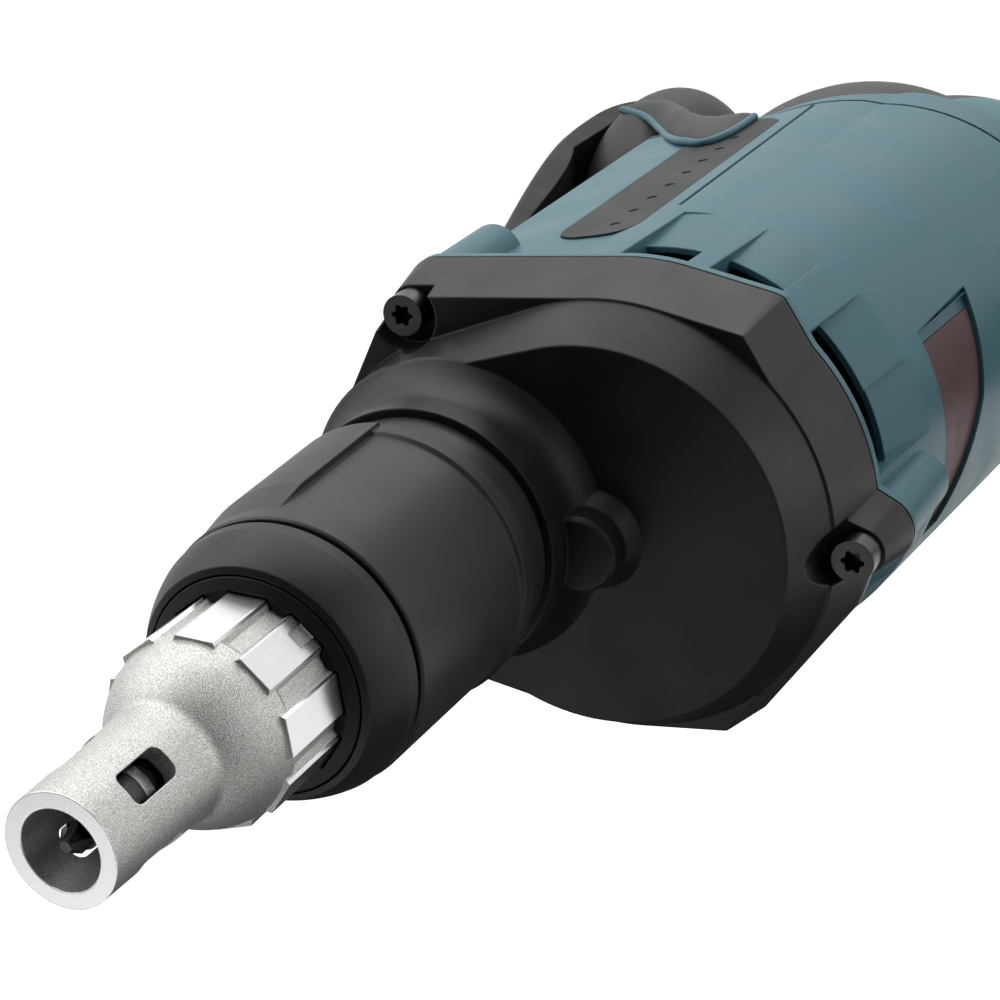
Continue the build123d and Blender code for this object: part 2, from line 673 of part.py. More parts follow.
# Carrier that the adjusting ring moves in and out; the nose slides on its ribs
CARRIER_FRONT = -(RING_SEAT + RING_LENGTH) - 0.4
with BuildPart() as depth_stop_carrier:
    turned(
        (
            (CARRIER_FRONT, FLUTE_RADIUS - 1),
            (CARRIER_FRONT, RIB_CORNER + SLIDE_GAP),
            (CARRIER_FRONT + 0.7, CARRIER_RADIUS),
            (CARRIER_FLANGE_FRONT, CARRIER_RADIUS),
            (CARRIER_FLANGE_FRONT, CARRIER_FLANGE_RADIUS),
            (CARRIER_REAR, CARRIER_FLANGE_RADIUS),
            (CARRIER_REAR, FLUTE_RADIUS - 1),
        )
    )
    for side in (1, -1):
        inner = side * (CARRIER_FLANGE_RADIUS - 1)
        outer = side * (CARRIER_FLANGE_RADIUS + KEY_HEIGHT)
        block(
            (CARRIER_FLANGE_FRONT, -KEY_WIDTH / 2, min(inner, outer)),
            (CARRIER_REAR, KEY_WIDTH / 2, max(inner, outer)),
        )
    slab(rib_outline(CARRIER_FRONT, SLIDE_GAP), CARRIER_REAR - CARRIER_FRONT, Mode.SUBTRACT)
    SNAP_FRONT = CARRIER_FLANGE_FRONT + 2.0
    SNAP_THICK = 1.2
    SNAP_INNER = RIB_CORNER + SLIDE_GAP
    SNAP_OUTER = SNAP_INNER + 1.1
    turned(band(SNAP_FRONT - 0.05, SNAP_FRONT + SNAP_THICK + 0.05, SNAP_OUTER + 0.05), mode=Mode.SUBTRACT)
depth_stop_carrier.part.label = "depth_stop_carrier"

# Open spring ring that grips the ribs, drawn at the size it has while the nose passes
with BuildPart() as nose_snap_ring:
    turned(band(SNAP_FRONT, SNAP_FRONT + SNAP_THICK, SNAP_OUTER, SNAP_INNER), start=10, arc=CLIP_ANGLE)
nose_snap_ring.part.label = "nose_snap_ring"

# Depth-adjusting ring with a skirt inside the neck sleeve
RING_REAR = -RING_SEAT
RING_FRONT = RING_REAR - RING_LENGTH
RING_RADIUS = NECK_RADIUS - 0.3
CLIP_FRONT = RING_REAR + 2.8
with BuildPart() as depth_adjust_ring:
    with BuildSketch(beside(SPINDLE_AXIS)):
        with BuildLine():
            Polyline((RING_FRONT + 0.4, RING_BORE), (RING_FRONT + 0.8, RING_BORE + 1.0))
            ThreePointArc(
                (RING_FRONT + 0.8, RING_BORE + 1.0),
                (RING_FRONT + 4.0, RING_RADIUS - 1.2),
                (RING_FRONT + 7.2, RING_RADIUS - 0.15),
            )
            Polyline(
                (RING_FRONT + 7.2, RING_RADIUS - 0.15),
                (RING_REAR - 1.0, RING_RADIUS),
                (RING_REAR - 1.0, RING_RADIUS - 0.5),
                (RING_REAR - SLIDE_GAP, RING_RADIUS - 0.5),
                (RING_REAR - SLIDE_GAP, SKIRT_RADIUS),
                (RING_REAR + SKIRT_LENGTH, SKIRT_RADIUS),
                (RING_REAR + SKIRT_LENGTH, RING_BORE),
                (RING_FRONT + 0.4, RING_BORE),
            )
        make_face()
    revolve(axis=SPINDLE_AXIS)
    turned(
        band(
            CLIP_FRONT - SLIDE_GAP,
            CLIP_FRONT + CLIP_THICK + SLIDE_GAP,
            SKIRT_RADIUS + 1,
            SKIRT_RADIUS - 0.6 * SKIRT_WALL,
        ),
        mode=Mode.SUBTRACT,
    )
depth_adjust_ring.part.label = "depth_adjust_ring"

# Open clip that keeps the ring in the neck sleeve
CLIP_OUTER = NECK_MOUTH + 0.9
with BuildPart() as adjust_ring_clip:
    turned(
        band(CLIP_FRONT, CLIP_FRONT + CLIP_THICK, CLIP_OUTER, SKIRT_RADIUS - 0.6 * SKIRT_WALL + SLIDE_GAP),
        start=200,
        arc=CLIP_ANGLE,
    )
adjust_ring_clip.part.label = "adjust_ring_clip"

# Neck sleeve with a raised top
NECK_FRONT = RING_REAR
NECK_REAR_RADIUS = NECK_RADIUS + NECK_SWELL
NECK_SHOULDER = CARRIER_FLANGE_FRONT - DEPTH_TRAVEL - SLIDE_GAP
with BuildPart() as neck_sleeve:
    turned(
        (
            (NECK_FRONT, NECK_MOUTH),
            (NECK_FRONT, NECK_RADIUS - 0.3),
            (NECK_FRONT + 0.4, NECK_RADIUS),
            (-10.8, NECK_REAR_RADIUS),
            (-10.2, NECK_REAR_RADIUS + 0.6),
            (-7.4, NECK_REAR_RADIUS + 0.6),
            (-5.4, NECK_REAR_RADIUS - 0.9),
            (-0.1, NECK_REAR_RADIUS - 0.9),
            (-0.1, NECK_BORE),
            (NECK_SHOULDER, NECK_BORE),
            (NECK_SHOULDER, NECK_MOUTH),
        )
    )
    turned(
        (
            (NECK_FRONT + 3.0, NECK_RADIUS - 1),
            (NECK_FRONT + 3.0, NECK_RADIUS),
            (NECK_FRONT + 10.0, NECK_RADIUS + SADDLE_HEIGHT),
            (-8.0, NECK_REAR_RADIUS + SADDLE_HEIGHT),
            (-6.6, NECK_REAR_RADIUS),
            (-6.6, NECK_RADIUS - 1),
        ),
        start=-SADDLE_ANGLE,
        arc=2 * SADDLE_ANGLE,
    )
    turned(
        band(CLIP_FRONT - FIT_GAP, CLIP_FRONT + CLIP_THICK + FIT_GAP, CLIP_OUTER + FIT_GAP),
        mode=Mode.SUBTRACT,
    )
    slot_half = KEY_WIDTH / 2 + SLIDE_GAP
    slot_reach = CARRIER_FLANGE_RADIUS + KEY_HEIGHT + SLIDE_GAP
    block(
        (NECK_SHOULDER, -slot_half, -slot_reach),
        (CARRIER_REAR + DEPTH_TRAVEL + SLIDE_GAP, slot_half, slot_reach),
        Mode.SUBTRACT,
    )
neck_sleeve.part.label = "neck_sleeve"

# Gear case with collar, spigot, bearing tube and the boss over the pinion bush
SPINDLE_HOLE = SPINDLE_RADIUS + 0.5
PINION_BUSH_RADIUS = 4.0
PINION_BUSH_FRONT = BOSS_FRONT + 2.0
PLATE_MOTOR_RADIUS = CASE_RIM_RADIUS - 5.8
PLATE_TOP_RADIUS = CASE_TOP_RADIUS - 3.2
PLATE_SCREW_SPOTS = (
    (-MOTOR_DROP - 15.5, 20.0),
    (-MOTOR_DROP - 15.5, -20.0),
    (PLATE_TOP_RADIUS - 2.4, 0.0),
)
PLATE_SCREW_RADIUS = 1.5
with BuildPart() as gear_case:
    loft(
        [
            strap(FACE, MOTOR_CENTRE, CASE_FACE_RADIUS, SPINDLE_CENTRE, COLLAR_REAR_RADIUS).face(),
            strap(
                CASE_RIM,
                MOTOR_CENTRE,
                CASE_RIM_RADIUS - CASE_DRAFT - CASE_RIM_STEP,
                SPINDLE_CENTRE,
                CASE_TOP_RADIUS - CASE_DRAFT - CASE_RIM_STEP,
            ).face(),
        ]
    )
    loft([case_outline(CASE_RIM, CASE_DRAFT).face(), case_outline(CASE_REAR).face()], ruled=True)
    with BuildSketch(beside(SPINDLE_AXIS)):
        with BuildLine():
            Polyline((0, 0), (0, COLLAR_RADIUS), (COLLAR_LAND, COLLAR_RADIUS))
            ThreePointArc(
                (COLLAR_LAND, COLLAR_RADIUS),
                (FACE - 2.0, COLLAR_REAR_RADIUS - 0.2),
                (FACE + 0.4, COLLAR_REAR_RADIUS + 2.2),
            )
            Polyline((FACE + 0.4, COLLAR_REAR_RADIUS + 2.2), (FACE + 0.4, 0), (0, 0))
        make_face()
    revolve(axis=SPINDLE_AXIS)
    rod(-SPIGOT_LENGTH, 1, SPIGOT_RADIUS)
    rod(TUBE_FRONT, 1, TUBE_RADIUS)
    turned(
        (
            (BOSS_FRONT, 0),
            (BOSS_FRONT, BOSS_RADIUS - 0.6),
            (BOSS_FRONT + 0.6, BOSS_RADIUS),
            (FACE - 2.6, BOSS_RADIUS + 0.3),
            (FACE + 1, BOSS_RADIUS + 2.6),
            (FACE + 1, 0),
        ),
        MOTOR_AXIS,
    )
    for spot in SCREW_SPOTS:
        rod(CASE_RIM - 9, SCREW_SEAT, SCREW_POCKET_RADIUS, spot, Mode.SUBTRACT)
        rod(SCREW_SEAT - 1, CASE_REAR + 1, SCREW_RADIUS + 0.2, spot, Mode.SUBTRACT)
    rod(TUBE_FRONT - 1, BUSH_REAR, BUSH_RADIUS + FIT_GAP, mode=Mode.SUBTRACT)
    rod(BUSH_REAR - 1, CLUTCH_SPACE + 1, SPINDLE_HOLE, mode=Mode.SUBTRACT)
    rod(CLUTCH_SPACE, GEAR_SPACE + 1, CLUTCH_RADIUS + 1.6, mode=Mode.SUBTRACT)
    slab(
        strap(GEAR_SPACE, SPINDLE_CENTRE, WHEEL_TIP + 1.7, MOTOR_CENTRE, PINION_TIP + 2.9),
        CASE_REAR - GEAR_SPACE,
        Mode.SUBTRACT,
    )
    slab(
        strap(
            PLATE_FRONT - FIT_GAP,
            MOTOR_CENTRE,
            PLATE_MOTOR_RADIUS + 0.2,
            SPINDLE_CENTRE,
            PLATE_TOP_RADIUS + 0.2,
        ),
        PLATE_THICK + 1,
        Mode.SUBTRACT,
    )
    rod(PINION_BUSH_FRONT, GEAR_SPACE + 1, PINION_BUSH_RADIUS + FIT_GAP, MOTOR_CENTRE, Mode.SUBTRACT)
    for spot in PLATE_SCREW_SPOTS:
        rod(PLATE_FRONT - 8, PLATE_FRONT + 1, PLATE_SCREW_RADIUS + FIT_GAP, spot, Mode.SUBTRACT)
gear_case.part.label = "gear_case"

# Three screws that hold the gear case to the motor housing
with BuildPart() as gear_case_screws:
    for spot in SCREW_SPOTS:
        head_front = SCREW_SEAT - SCREW_HEAD_HEIGHT
        rod(head_front, SCREW_SEAT, SCREW_HEAD_RADIUS, spot)
        rod(SCREW_SEAT, SCREW_SEAT + SCREW_REACH, SCREW_RADIUS, spot)
        rod(head_front, head_front + TORX_DEPTH, TORX_RADIUS, spot, Mode.SUBTRACT)
        for lobe in range(6):
            turn = 2 * pi * lobe / 6
            place = (spot[0] + TORX_RADIUS * cos(turn), spot[1] + TORX_RADIUS * sin(turn))
            rod(head_front, head_front + TORX_DEPTH, TORX_LOBE, place, Mode.SUBTRACT)
gear_case_screws.part.label = "gear_case_screws"

# Gasket between gear case and motor housing
with BuildPart() as gear_case_gasket:
    slab(case_outline(CASE_REAR, inset=0.9), GASKET)
    slab(
        strap(CASE_REAR, MOTOR_CENTRE, CAVITY_RADIUS, SPINDLE_CENTRE, PLATE_TOP_RADIUS),
        GASKET,
        Mode.SUBTRACT,
    )
    for spot in SCREW_SPOTS:
        rod(CASE_REAR, CASE_REAR + GASKET, SCREW_RADIUS + 0.3, spot, Mode.SUBTRACT)
gear_case_gasket.part.label = "gear_case_gasket"

# Bearing plate behind the gears
BEARING_OUTER = 11.0
REAR_BUSH_RADIUS = JOURNAL_RADIUS + RUN_GAP + 2.4
BEARING_BOSS_REAR = BEARING_FRONT + BEARING_WIDTH + 0.5
PLATE_SCREW_HEAD = 2.3
PLATE_SCREW_SEAT = CASE_REAR - 2.0
with BuildPart() as bearing_plate:
    slab(
        strap(PLATE_FRONT, MOTOR_CENTRE, PLATE_MOTOR_RADIUS, SPINDLE_CENTRE, PLATE_TOP_RADIUS),
        PLATE_THICK,
    )
    rod(CASE_REAR, BEARING_BOSS_REAR, BEARING_OUTER + 3, MOTOR_CENTRE)
    rod(BEARING_FRONT, BEARING_BOSS_REAR, BEARING_OUTER + FIT_GAP, MOTOR_CENTRE, Mode.SUBTRACT)
    rod(PLATE_FRONT, BEARING_BOSS_REAR, PINION_TIP + 0.9, MOTOR_CENTRE, Mode.SUBTRACT)
    rod(PLATE_FRONT, CASE_REAR, REAR_BUSH_RADIUS + FIT_GAP, mode=Mode.SUBTRACT)
    for spot in PLATE_SCREW_SPOTS:
        rod(PLATE_FRONT, CASE_REAR, PLATE_SCREW_RADIUS + 0.1, spot, Mode.SUBTRACT)
        rod(PLATE_SCREW_SEAT, CASE_REAR, PLATE_SCREW_HEAD + 0.2, spot, Mode.SUBTRACT)
bearing_plate.part.label = "bearing_plate"

with BuildPart() as bearing_plate_screws:
    for spot in PLATE_SCREW_SPOTS:
        rod(PLATE_SCREW_SEAT, CASE_REAR - 0.1, PLATE_SCREW_HEAD, spot)
        rod(PLATE_FRONT - 7, PLATE_SCREW_SEAT, PLATE_SCREW_RADIUS, spot)
        with BuildSketch(across(CASE_REAR - 1.2)):
            with Locations(spot):
                RegularPolygon(1.3, 6)
        extrude(amount=1.2, mode=Mode.SUBTRACT)
bearing_plate_screws.part.label = "bearing_plate_screws"

# Spindle with hex socket, clutch dogs and rear journal
SPINDLE_REAR = CASE_REAR + 1.4
SOCKET_CLIP_STATION = SPINDLE_FRONT + 5.0
SOCKET_CLIP_WIDTH = 1.5
SOCKET_CLIP_DEPTH = 1.0
SOCKET_CLIP_GAP = 0.05
with BuildPart() as spindle:
    turned(
        (
            (SPINDLE_FRONT, 0),
            (SPINDLE_FRONT, SPINDLE_RADIUS - 0.6),
            (SPINDLE_FRONT + 0.6, SPINDLE_RADIUS),
            (CLUTCH_FRONT, SPINDLE_RADIUS),
            (CLUTCH_FRONT, CLUTCH_RADIUS),
            (CLUTCH_REAR, CLUTCH_RADIUS),
            (CLUTCH_REAR, JOURNAL_RADIUS),
            (SPINDLE_REAR - 0.5, JOURNAL_RADIUS),
            (SPINDLE_REAR, JOURNAL_RADIUS - 0.5),
            (SPINDLE_REAR, 0),
        )
    )
    for dog in range(DOG_COUNT):
        turned(
            band(CLUTCH_REAR - 0.5, CLUTCH_REAR + DOG_HEIGHT, CLUTCH_RADIUS, DOG_INNER),
            start=360 * dog / DOG_COUNT,
            arc=DOG_ANGLE,
        )
    with BuildSketch(across(SPINDLE_FRONT)):
        RegularPolygon(HEX_SIZE / 2 + HEX_GAP, 6, major_radius=False)
    extrude(amount=SOCKET_DEPTH, mode=Mode.SUBTRACT)
    turned(
        band(
            SOCKET_CLIP_STATION,
            SOCKET_CLIP_STATION + SOCKET_CLIP_WIDTH,
            SPINDLE_RADIUS + 1,
            SPINDLE_RADIUS - SOCKET_CLIP_DEPTH,
        ),
        mode=Mode.SUBTRACT,
    )
spindle.part.label = "spindle"

with BuildPart() as socket_clip:
    turned(
        band(
            SOCKET_CLIP_STATION + SOCKET_CLIP_GAP,
            SOCKET_CLIP_STATION + SOCKET_CLIP_WIDTH - SOCKET_CLIP_GAP,
            SPINDLE_RADIUS + 0.4,
            SPINDLE_RADIUS - SOCKET_CLIP_DEPTH + SOCKET_CLIP_GAP,
        ),
        start=40,
        arc=CLIP_ANGLE,
    )
socket_clip.part.label = "socket_clip"

with BuildPart() as spindle_bush:
    turned(band(BUSH_FRONT, BUSH_REAR, BUSH_RADIUS, SPINDLE_RADIUS + RUN_GAP))
spindle_bush.part.label = "spindle_bush"

with BuildPart() as spindle_rear_bush:
    turned(band(PLATE_FRONT + 0.1, CASE_REAR, REAR_BUSH_RADIUS, JOURNAL_RADIUS + RUN_GAP))
spindle_rear_bush.part.label = "spindle_rear_bush"

# Clutch spring that stands on the spindle's flange; the wheel has a pocket for its other end
CLUTCH_SPRING_RADIUS = JOURNAL_RADIUS + 2.0
CLUTCH_SPRING_WIRE = 0.7
CLUTCH_POCKET = PUSH_TRAVEL + 1.2
with BuildPart() as clutch_spring:
    add(
        coil(
            (CLUTCH_REAR + CLUTCH_SPRING_WIRE + 0.1, 0, 0),
            (1, 0, 0),
            WHEEL_FRONT - CLUTCH_REAR - 2 * CLUTCH_SPRING_WIRE + 0.4,
            CLUTCH_SPRING_RADIUS,
            CLUTCH_SPRING_WIRE,
            3,
        )
    )
clutch_spring.part.label = "clutch_spring"

# Gear wheel with clutch dogs half a step away from the spindle's dogs
with BuildPart() as gear_wheel:
    slab(gear_outline(WHEEL_FRONT, WHEEL_TEETH, -TOOTH_SHIFT, SPINDLE_CENTRE, 180), WHEEL_WIDTH)
    for dog in range(DOG_COUNT):
        turned(
            band(WHEEL_DOG_FRONT, WHEEL_FRONT + 0.5, CLUTCH_RADIUS, DOG_INNER),
            start=360 * (dog + 0.5) / DOG_COUNT,
            arc=DOG_ANGLE,
        )
    rod(WHEEL_FRONT, WHEEL_REAR, JOURNAL_RADIUS + RUN_GAP, mode=Mode.SUBTRACT)
    rod(
        WHEEL_FRONT,
        WHEEL_FRONT + CLUTCH_POCKET,
        CLUTCH_SPRING_RADIUS + CLUTCH_SPRING_WIRE + SLIDE_GAP,
        mode=Mode.SUBTRACT,
    )
gear_wheel.part.label = "gear_wheel"

with BuildPart() as gear_thrust_washer:
    turned(band(WASHER_FRONT, WASHER_FRONT + WASHER_THICK, 12.0, JOURNAL_RADIUS + RUN_GAP))
gear_thrust_washer.part.label = "gear_thrust_washer"

# Bit, magnet and holder
BIT_FRONT = NOSE_TIP + BIT_SETBACK
BIT_REAR = BIT_FRONT + BIT_LENGTH
with BuildPart() as screwdriver_bit:
    with BuildSketch(across(BIT_FRONT + 9.5)):
        RegularPolygon(HEX_SIZE / 2, 6, major_radius=False)
    extrude(amount=BIT_LENGTH - 9.5)
    turned(
        (
            (BIT_FRONT, 0),
            (BIT_FRONT, 0.8),
            (BIT_FRONT + 2.6, 2.3),
            (BIT_FRONT + 8.0, 2.3),
            (BIT_FRONT + 9.5, HEX_SIZE / 2),
            (BIT_FRONT + 10.0, HEX_SIZE / 2),
            (BIT_FRONT + 10.0, 0),
        )
    )
    for groove in range(4):
        turn = pi / 4 + groove * pi / 2
        with BuildSketch(across(BIT_FRONT)):
            with BuildLine():
                Polyline(
                    (0.75 * cos(turn), 0.75 * sin(turn)),
                    (5 * cos(turn - 0.7), 5 * sin(turn - 0.7)),
                    (5 * cos(turn + 0.7), 5 * sin(turn + 0.7)),
                    close=True,
                )
            make_face()
        extrude(amount=3.6, mode=Mode.SUBTRACT)
screwdriver_bit.part.label = "screwdriver_bit"

with BuildPart() as bit_magnet:
    rod(BIT_REAR + 0.1, BIT_REAR + 0.1 + MAGNET_LENGTH, MAGNET_RADIUS)
bit_magnet.part.label = "bit_magnet"

HOLDER_BAND_FRONT = HOLDER_FRONT + 2.8
HOLDER_BAND_LENGTH = 1.8
HOLDER_END = SPINDLE_FRONT + SOCKET_DEPTH - 0.3
with BuildPart() as bit_holder:
    turned(
        (
            (HOLDER_FRONT, 0),
            (HOLDER_FRONT, HOLDER_RADIUS - 0.5),
            (HOLDER_FRONT + 0.6, HOLDER_RADIUS),
            (HOLDER_REAR, HOLDER_RADIUS),
            (HOLDER_REAR + 2, HEX_SIZE / 2),
            (HOLDER_REAR + 2, 0),
        )
    )
    with BuildSketch(across(HOLDER_REAR)):
        RegularPolygon(HEX_SIZE / 2, 6, major_radius=False)
    extrude(amount=HOLDER_END - HOLDER_REAR)
    with BuildSketch(across(HOLDER_FRONT)):
        RegularPolygon(HEX_SIZE / 2 + HEX_GAP, 6, major_radius=False)
    extrude(amount=BIT_REAR + 0.05 - HOLDER_FRONT, mode=Mode.SUBTRACT)
    rod(BIT_REAR - 1, BIT_REAR + 0.15 + MAGNET_LENGTH, MAGNET_RADIUS + FIT_GAP, mode=Mode.SUBTRACT)
    turned(
        band(
            HOLDER_BAND_FRONT,
            HOLDER_BAND_FRONT + HOLDER_BAND_LENGTH,
            HOLDER_RADIUS + 1,
            HOLDER_RADIUS - 0.5,
        ),
        mode=Mode.SUBTRACT,
    )
bit_holder.part.label = "bit_holder"

with BuildPart() as holder_retaining_ring:
    turned(
        band(
            HOLDER_BAND_FRONT + FIT_GAP,
            HOLDER_BAND_FRONT + HOLDER_BAND_LENGTH - FIT_GAP,
            HOLDER_RADIUS + 0.1,
            HOLDER_RADIUS - 0.5 + FIT_GAP,
        )
    )
holder_retaining_ring.part.label = "holder_retaining_ring"

# Armature: shaft with pinion, core, windings, commutator and fan
FRONT_JOURNAL = 2.5
REAR_SEAT_RADIUS = 3.5
REAR_BEARING_FRONT = BACK + 1.0
SHAFT_FRONT = PINION_BUSH_FRONT + 0.3
REAR_BEARING_REAR = REAR_BEARING_FRONT + REAR_BEARING_WIDTH
SHAFT_REAR = REAR_BEARING_REAR + 0.5
PINION_ROOT = MODULE * (PINION_TEETH / 2 - DEDENDUM + TOOTH_SHIFT)
with BuildPart() as armature_shaft:
    turned(
        (
            (SHAFT_FRONT, 0),
            (SHAFT_FRONT, FRONT_JOURNAL),
            (GEAR_SPACE + 0.6, FRONT_JOURNAL),
            (GEAR_SPACE + 0.6, PINION_ROOT),
            (BEARING_FRONT - 0.4, PINION_ROOT),
            (BEARING_FRONT - 0.4, SHAFT_RADIUS - FIT_GAP),
            (FAN_FRONT - 1, SHAFT_RADIUS - FIT_GAP),
            (FAN_FRONT - 1, CORE_SEAT_RADIUS - FIT_GAP),
            (COMMUTATOR_REAR, CORE_SEAT_RADIUS - FIT_GAP),
            (COMMUTATOR_REAR, SHAFT_RADIUS),
            (REAR_BEARING_FRONT, SHAFT_RADIUS),
            (REAR_BEARING_FRONT, REAR_SEAT_RADIUS - FIT_GAP),
            (SHAFT_REAR, REAR_SEAT_RADIUS - FIT_GAP),
            (SHAFT_REAR, 0),
        ),
        MOTOR_AXIS,
    )
    slab(gear_outline(WHEEL_FRONT - 0.3, PINION_TEETH, TOOTH_SHIFT, MOTOR_CENTRE, 180), WHEEL_WIDTH + 0.6)
armature_shaft.part.label = "armature_shaft"

with BuildPart() as pinion_bush:
    turned(
        band(PINION_BUSH_FRONT + 0.1, GEAR_SPACE, PINION_BUSH_RADIUS, FRONT_JOURNAL + RUN_GAP),
        MOTOR_AXIS,
    )
pinion_bush.part.label = "pinion_bush"

SLOT_BOTTOM = 11.0
SLOT_WIDTH = 3.0
SLOT_MOUTH = 1.4
WIRE_TOP = ARMATURE_RADIUS - 1.4
CORE_FRONT = STATOR_FRONT + 2
CORE_REAR = STATOR_REAR - 2
with BuildPart() as armature_core:
    with BuildSketch(across(CORE_FRONT)):
        with Locations(MOTOR_CENTRE):
            Circle(ARMATURE_RADIUS)
            Circle(CORE_SEAT_RADIUS, mode=Mode.SUBTRACT)
            with PolarLocations((SLOT_BOTTOM + WIRE_TOP) / 2, STATOR_SLOTS):
                Rectangle(WIRE_TOP - SLOT_BOTTOM, SLOT_WIDTH, mode=Mode.SUBTRACT)
            with PolarLocations(ARMATURE_RADIUS, STATOR_SLOTS):
                Rectangle(2 * (ARMATURE_RADIUS - WIRE_TOP) + 0.2, SLOT_MOUTH, mode=Mode.SUBTRACT)
    extrude(amount=CORE_REAR - CORE_FRONT)
armature_core.part.label = "armature_core"

WINDING_OVERHANG = 5.5
with BuildPart() as armature_windings:
    with BuildSketch(across(CORE_FRONT - WINDING_OVERHANG / 2)):
        with Locations(MOTOR_CENTRE):
            with PolarLocations((SLOT_BOTTOM + WIRE_TOP) / 2, STATOR_SLOTS):
                Rectangle(WIRE_TOP - SLOT_BOTTOM - 0.4, SLOT_WIDTH - 0.3)
    extrude(amount=CORE_REAR - CORE_FRONT + WINDING_OVERHANG)
    for near, far in (
        (CORE_FRONT - 0.2, CORE_FRONT - WINDING_OVERHANG),
        (CORE_REAR + 0.2, CORE_REAR + WINDING_OVERHANG),
    ):
        turned(
            (
                (near, CORE_SEAT_RADIUS + 1.5),
                (near, WIRE_TOP - 0.4),
                ((near + 2 * far) / 3, WIRE_TOP - 1.2),
                (far, WIRE_TOP - 4),
                (far, CORE_SEAT_RADIUS + 1.5),
            ),
            MOTOR_AXIS,
        )
armature_windings.part.label = "armature_windings"

with BuildPart() as commutator:
    turned(band(COMMUTATOR_FRONT, COMMUTATOR_REAR, COMMUTATOR_RADIUS, CORE_SEAT_RADIUS), MOTOR_AXIS)
    turned(
        band(COMMUTATOR_FRONT - 1.5, COMMUTATOR_FRONT + 0.5, COMMUTATOR_RADIUS + 1.5, CORE_SEAT_RADIUS),
        MOTOR_AXIS,
    )
    with BuildSketch(across(COMMUTATOR_FRONT + 0.5)):
        with Locations(MOTOR_CENTRE):
            with PolarLocations(COMMUTATOR_RADIUS, COMMUTATOR_BARS):
                Rectangle(1.6, 0.5)
    extrude(amount=COMMUTATOR_LENGTH, mode=Mode.SUBTRACT)
commutator.part.label = "commutator"

with BuildPart() as cooling_fan:
    turned(band(FAN_FRONT, FAN_REAR, 8.5, CORE_SEAT_RADIUS), MOTOR_AXIS)
    turned(band(FAN_REAR - 1.5, FAN_REAR, FAN_RADIUS, CORE_SEAT_RADIUS), MOTOR_AXIS)
    with BuildSketch(across(FAN_FRONT + 1)):
        with Locations(MOTOR_CENTRE):
            with PolarLocations((FAN_RADIUS + 8.2) / 2, FAN_BLADES):
                Rectangle(FAN_RADIUS - 8.4, 1.6)
    extrude(amount=FAN_REAR - FAN_FRONT - 1)
cooling_fan.part.label = "cooling_fan"

with BuildPart() as front_ball_bearing:
    add(ball_bearing(BEARING_FRONT, BEARING_WIDTH, SHAFT_RADIUS, BEARING_OUTER, MOTOR_AXIS))
front_ball_bearing.part.label = "front_ball_bearing"

REAR_BEARING_OUTER = 9.5
with BuildPart() as rear_ball_bearing:
    add(
        ball_bearing(
            REAR_BEARING_FRONT,
            REAR_BEARING_WIDTH,
            REAR_SEAT_RADIUS,
            REAR_BEARING_OUTER,
            MOTOR_AXIS,
        )
    )
rear_ball_bearing.part.label = "rear_ball_bearing"

# Stator with two poles above and below, and its field coils
YOKE_INNER = STATOR_RADIUS - 5.4
SHOE_OUTER = STATOR_BORE + 1.4
STEM_HALF_ANGLE = 26.0
SHOE_HALF_ANGLE = 54.0
with BuildPart() as stator_core:
    turned(band(STATOR_FRONT, STATOR_REAR, STATOR_RADIUS, YOKE_INNER), MOTOR_AXIS)
    for pole in (0, 180):
        turned(
            band(STATOR_FRONT, STATOR_REAR, YOKE_INNER + 0.5, STATOR_BORE),
            MOTOR_AXIS,
            start=pole - STEM_HALF_ANGLE,
            arc=2 * STEM_HALF_ANGLE,
        )
        turned(
            band(STATOR_FRONT, STATOR_REAR, SHOE_OUTER, STATOR_BORE),
            MOTOR_AXIS,
            start=pole - SHOE_HALF_ANGLE,
            arc=2 * SHOE_HALF_ANGLE,
        )
stator_core.part.label = "stator_core"

COIL_OVERHANG = 4.6
COIL_GAP = 0.2
with BuildPart() as field_coils:
    for pole in (0, 180):
        turned(
            band(
                STATOR_FRONT - COIL_OVERHANG,
                STATOR_REAR + COIL_OVERHANG,
                YOKE_INNER - COIL_GAP,
                SHOE_OUTER + COIL_GAP,
            ),
            MOTOR_AXIS,
            start=pole - SHOE_HALF_ANGLE - 6,
            arc=2 * (SHOE_HALF_ANGLE + 6),
        )
        turned(
            band(STATOR_FRONT - COIL_GAP, STATOR_REAR + COIL_GAP, YOKE_INNER + 1, SHOE_OUTER - 1),
            MOTOR_AXIS,
            start=pole - STEM_HALF_ANGLE - 1,
            arc=2 * (STEM_HALF_ANGLE + 1),
            mode=Mode.SUBTRACT,
        )
field_coils.part.label = "field_coils"

# Brush gear on the left and right of the commutator
HOLDER_WALL = 1.4
HOLDER_START = COMMUTATOR_RADIUS + 1.8
HOLDER_LENGTH = 16.0
BRUSH_START = COMMUTATOR_RADIUS + 0.3
BRUSH_LENGTH = 12.0
BRUSH_GAP = 0.15
channel_x = BRUSH_WIDTH / 2 + BRUSH_GAP
channel_y = BRUSH_THICK / 2 + BRUSH_GAP
holder_x = channel_x + HOLDER_WALL
holder_y = channel_y + HOLDER_WALL
with BuildPart() as brush_carrier:
    turned(
        band(CARRIER_PLATE_FRONT, CARRIER_PLATE_FRONT + 3, CAVITY_RADIUS - SLIDE_GAP, COMMUTATOR_RADIUS - 1),
        MOTOR_AXIS,
    )
    for side in (1, -1):
        near = side * (HOLDER_START + 1)
        far = side * (HOLDER_START + HOLDER_LENGTH - 1)
        block(
            (BRUSH_STATION + holder_x + 0.05, -MOTOR_DROP - 3, min(near, far)),
            (CARRIER_PLATE_FRONT + 1, -MOTOR_DROP + 3, max(near, far)),
        )
brush_carrier.part.label = "brush_carrier"

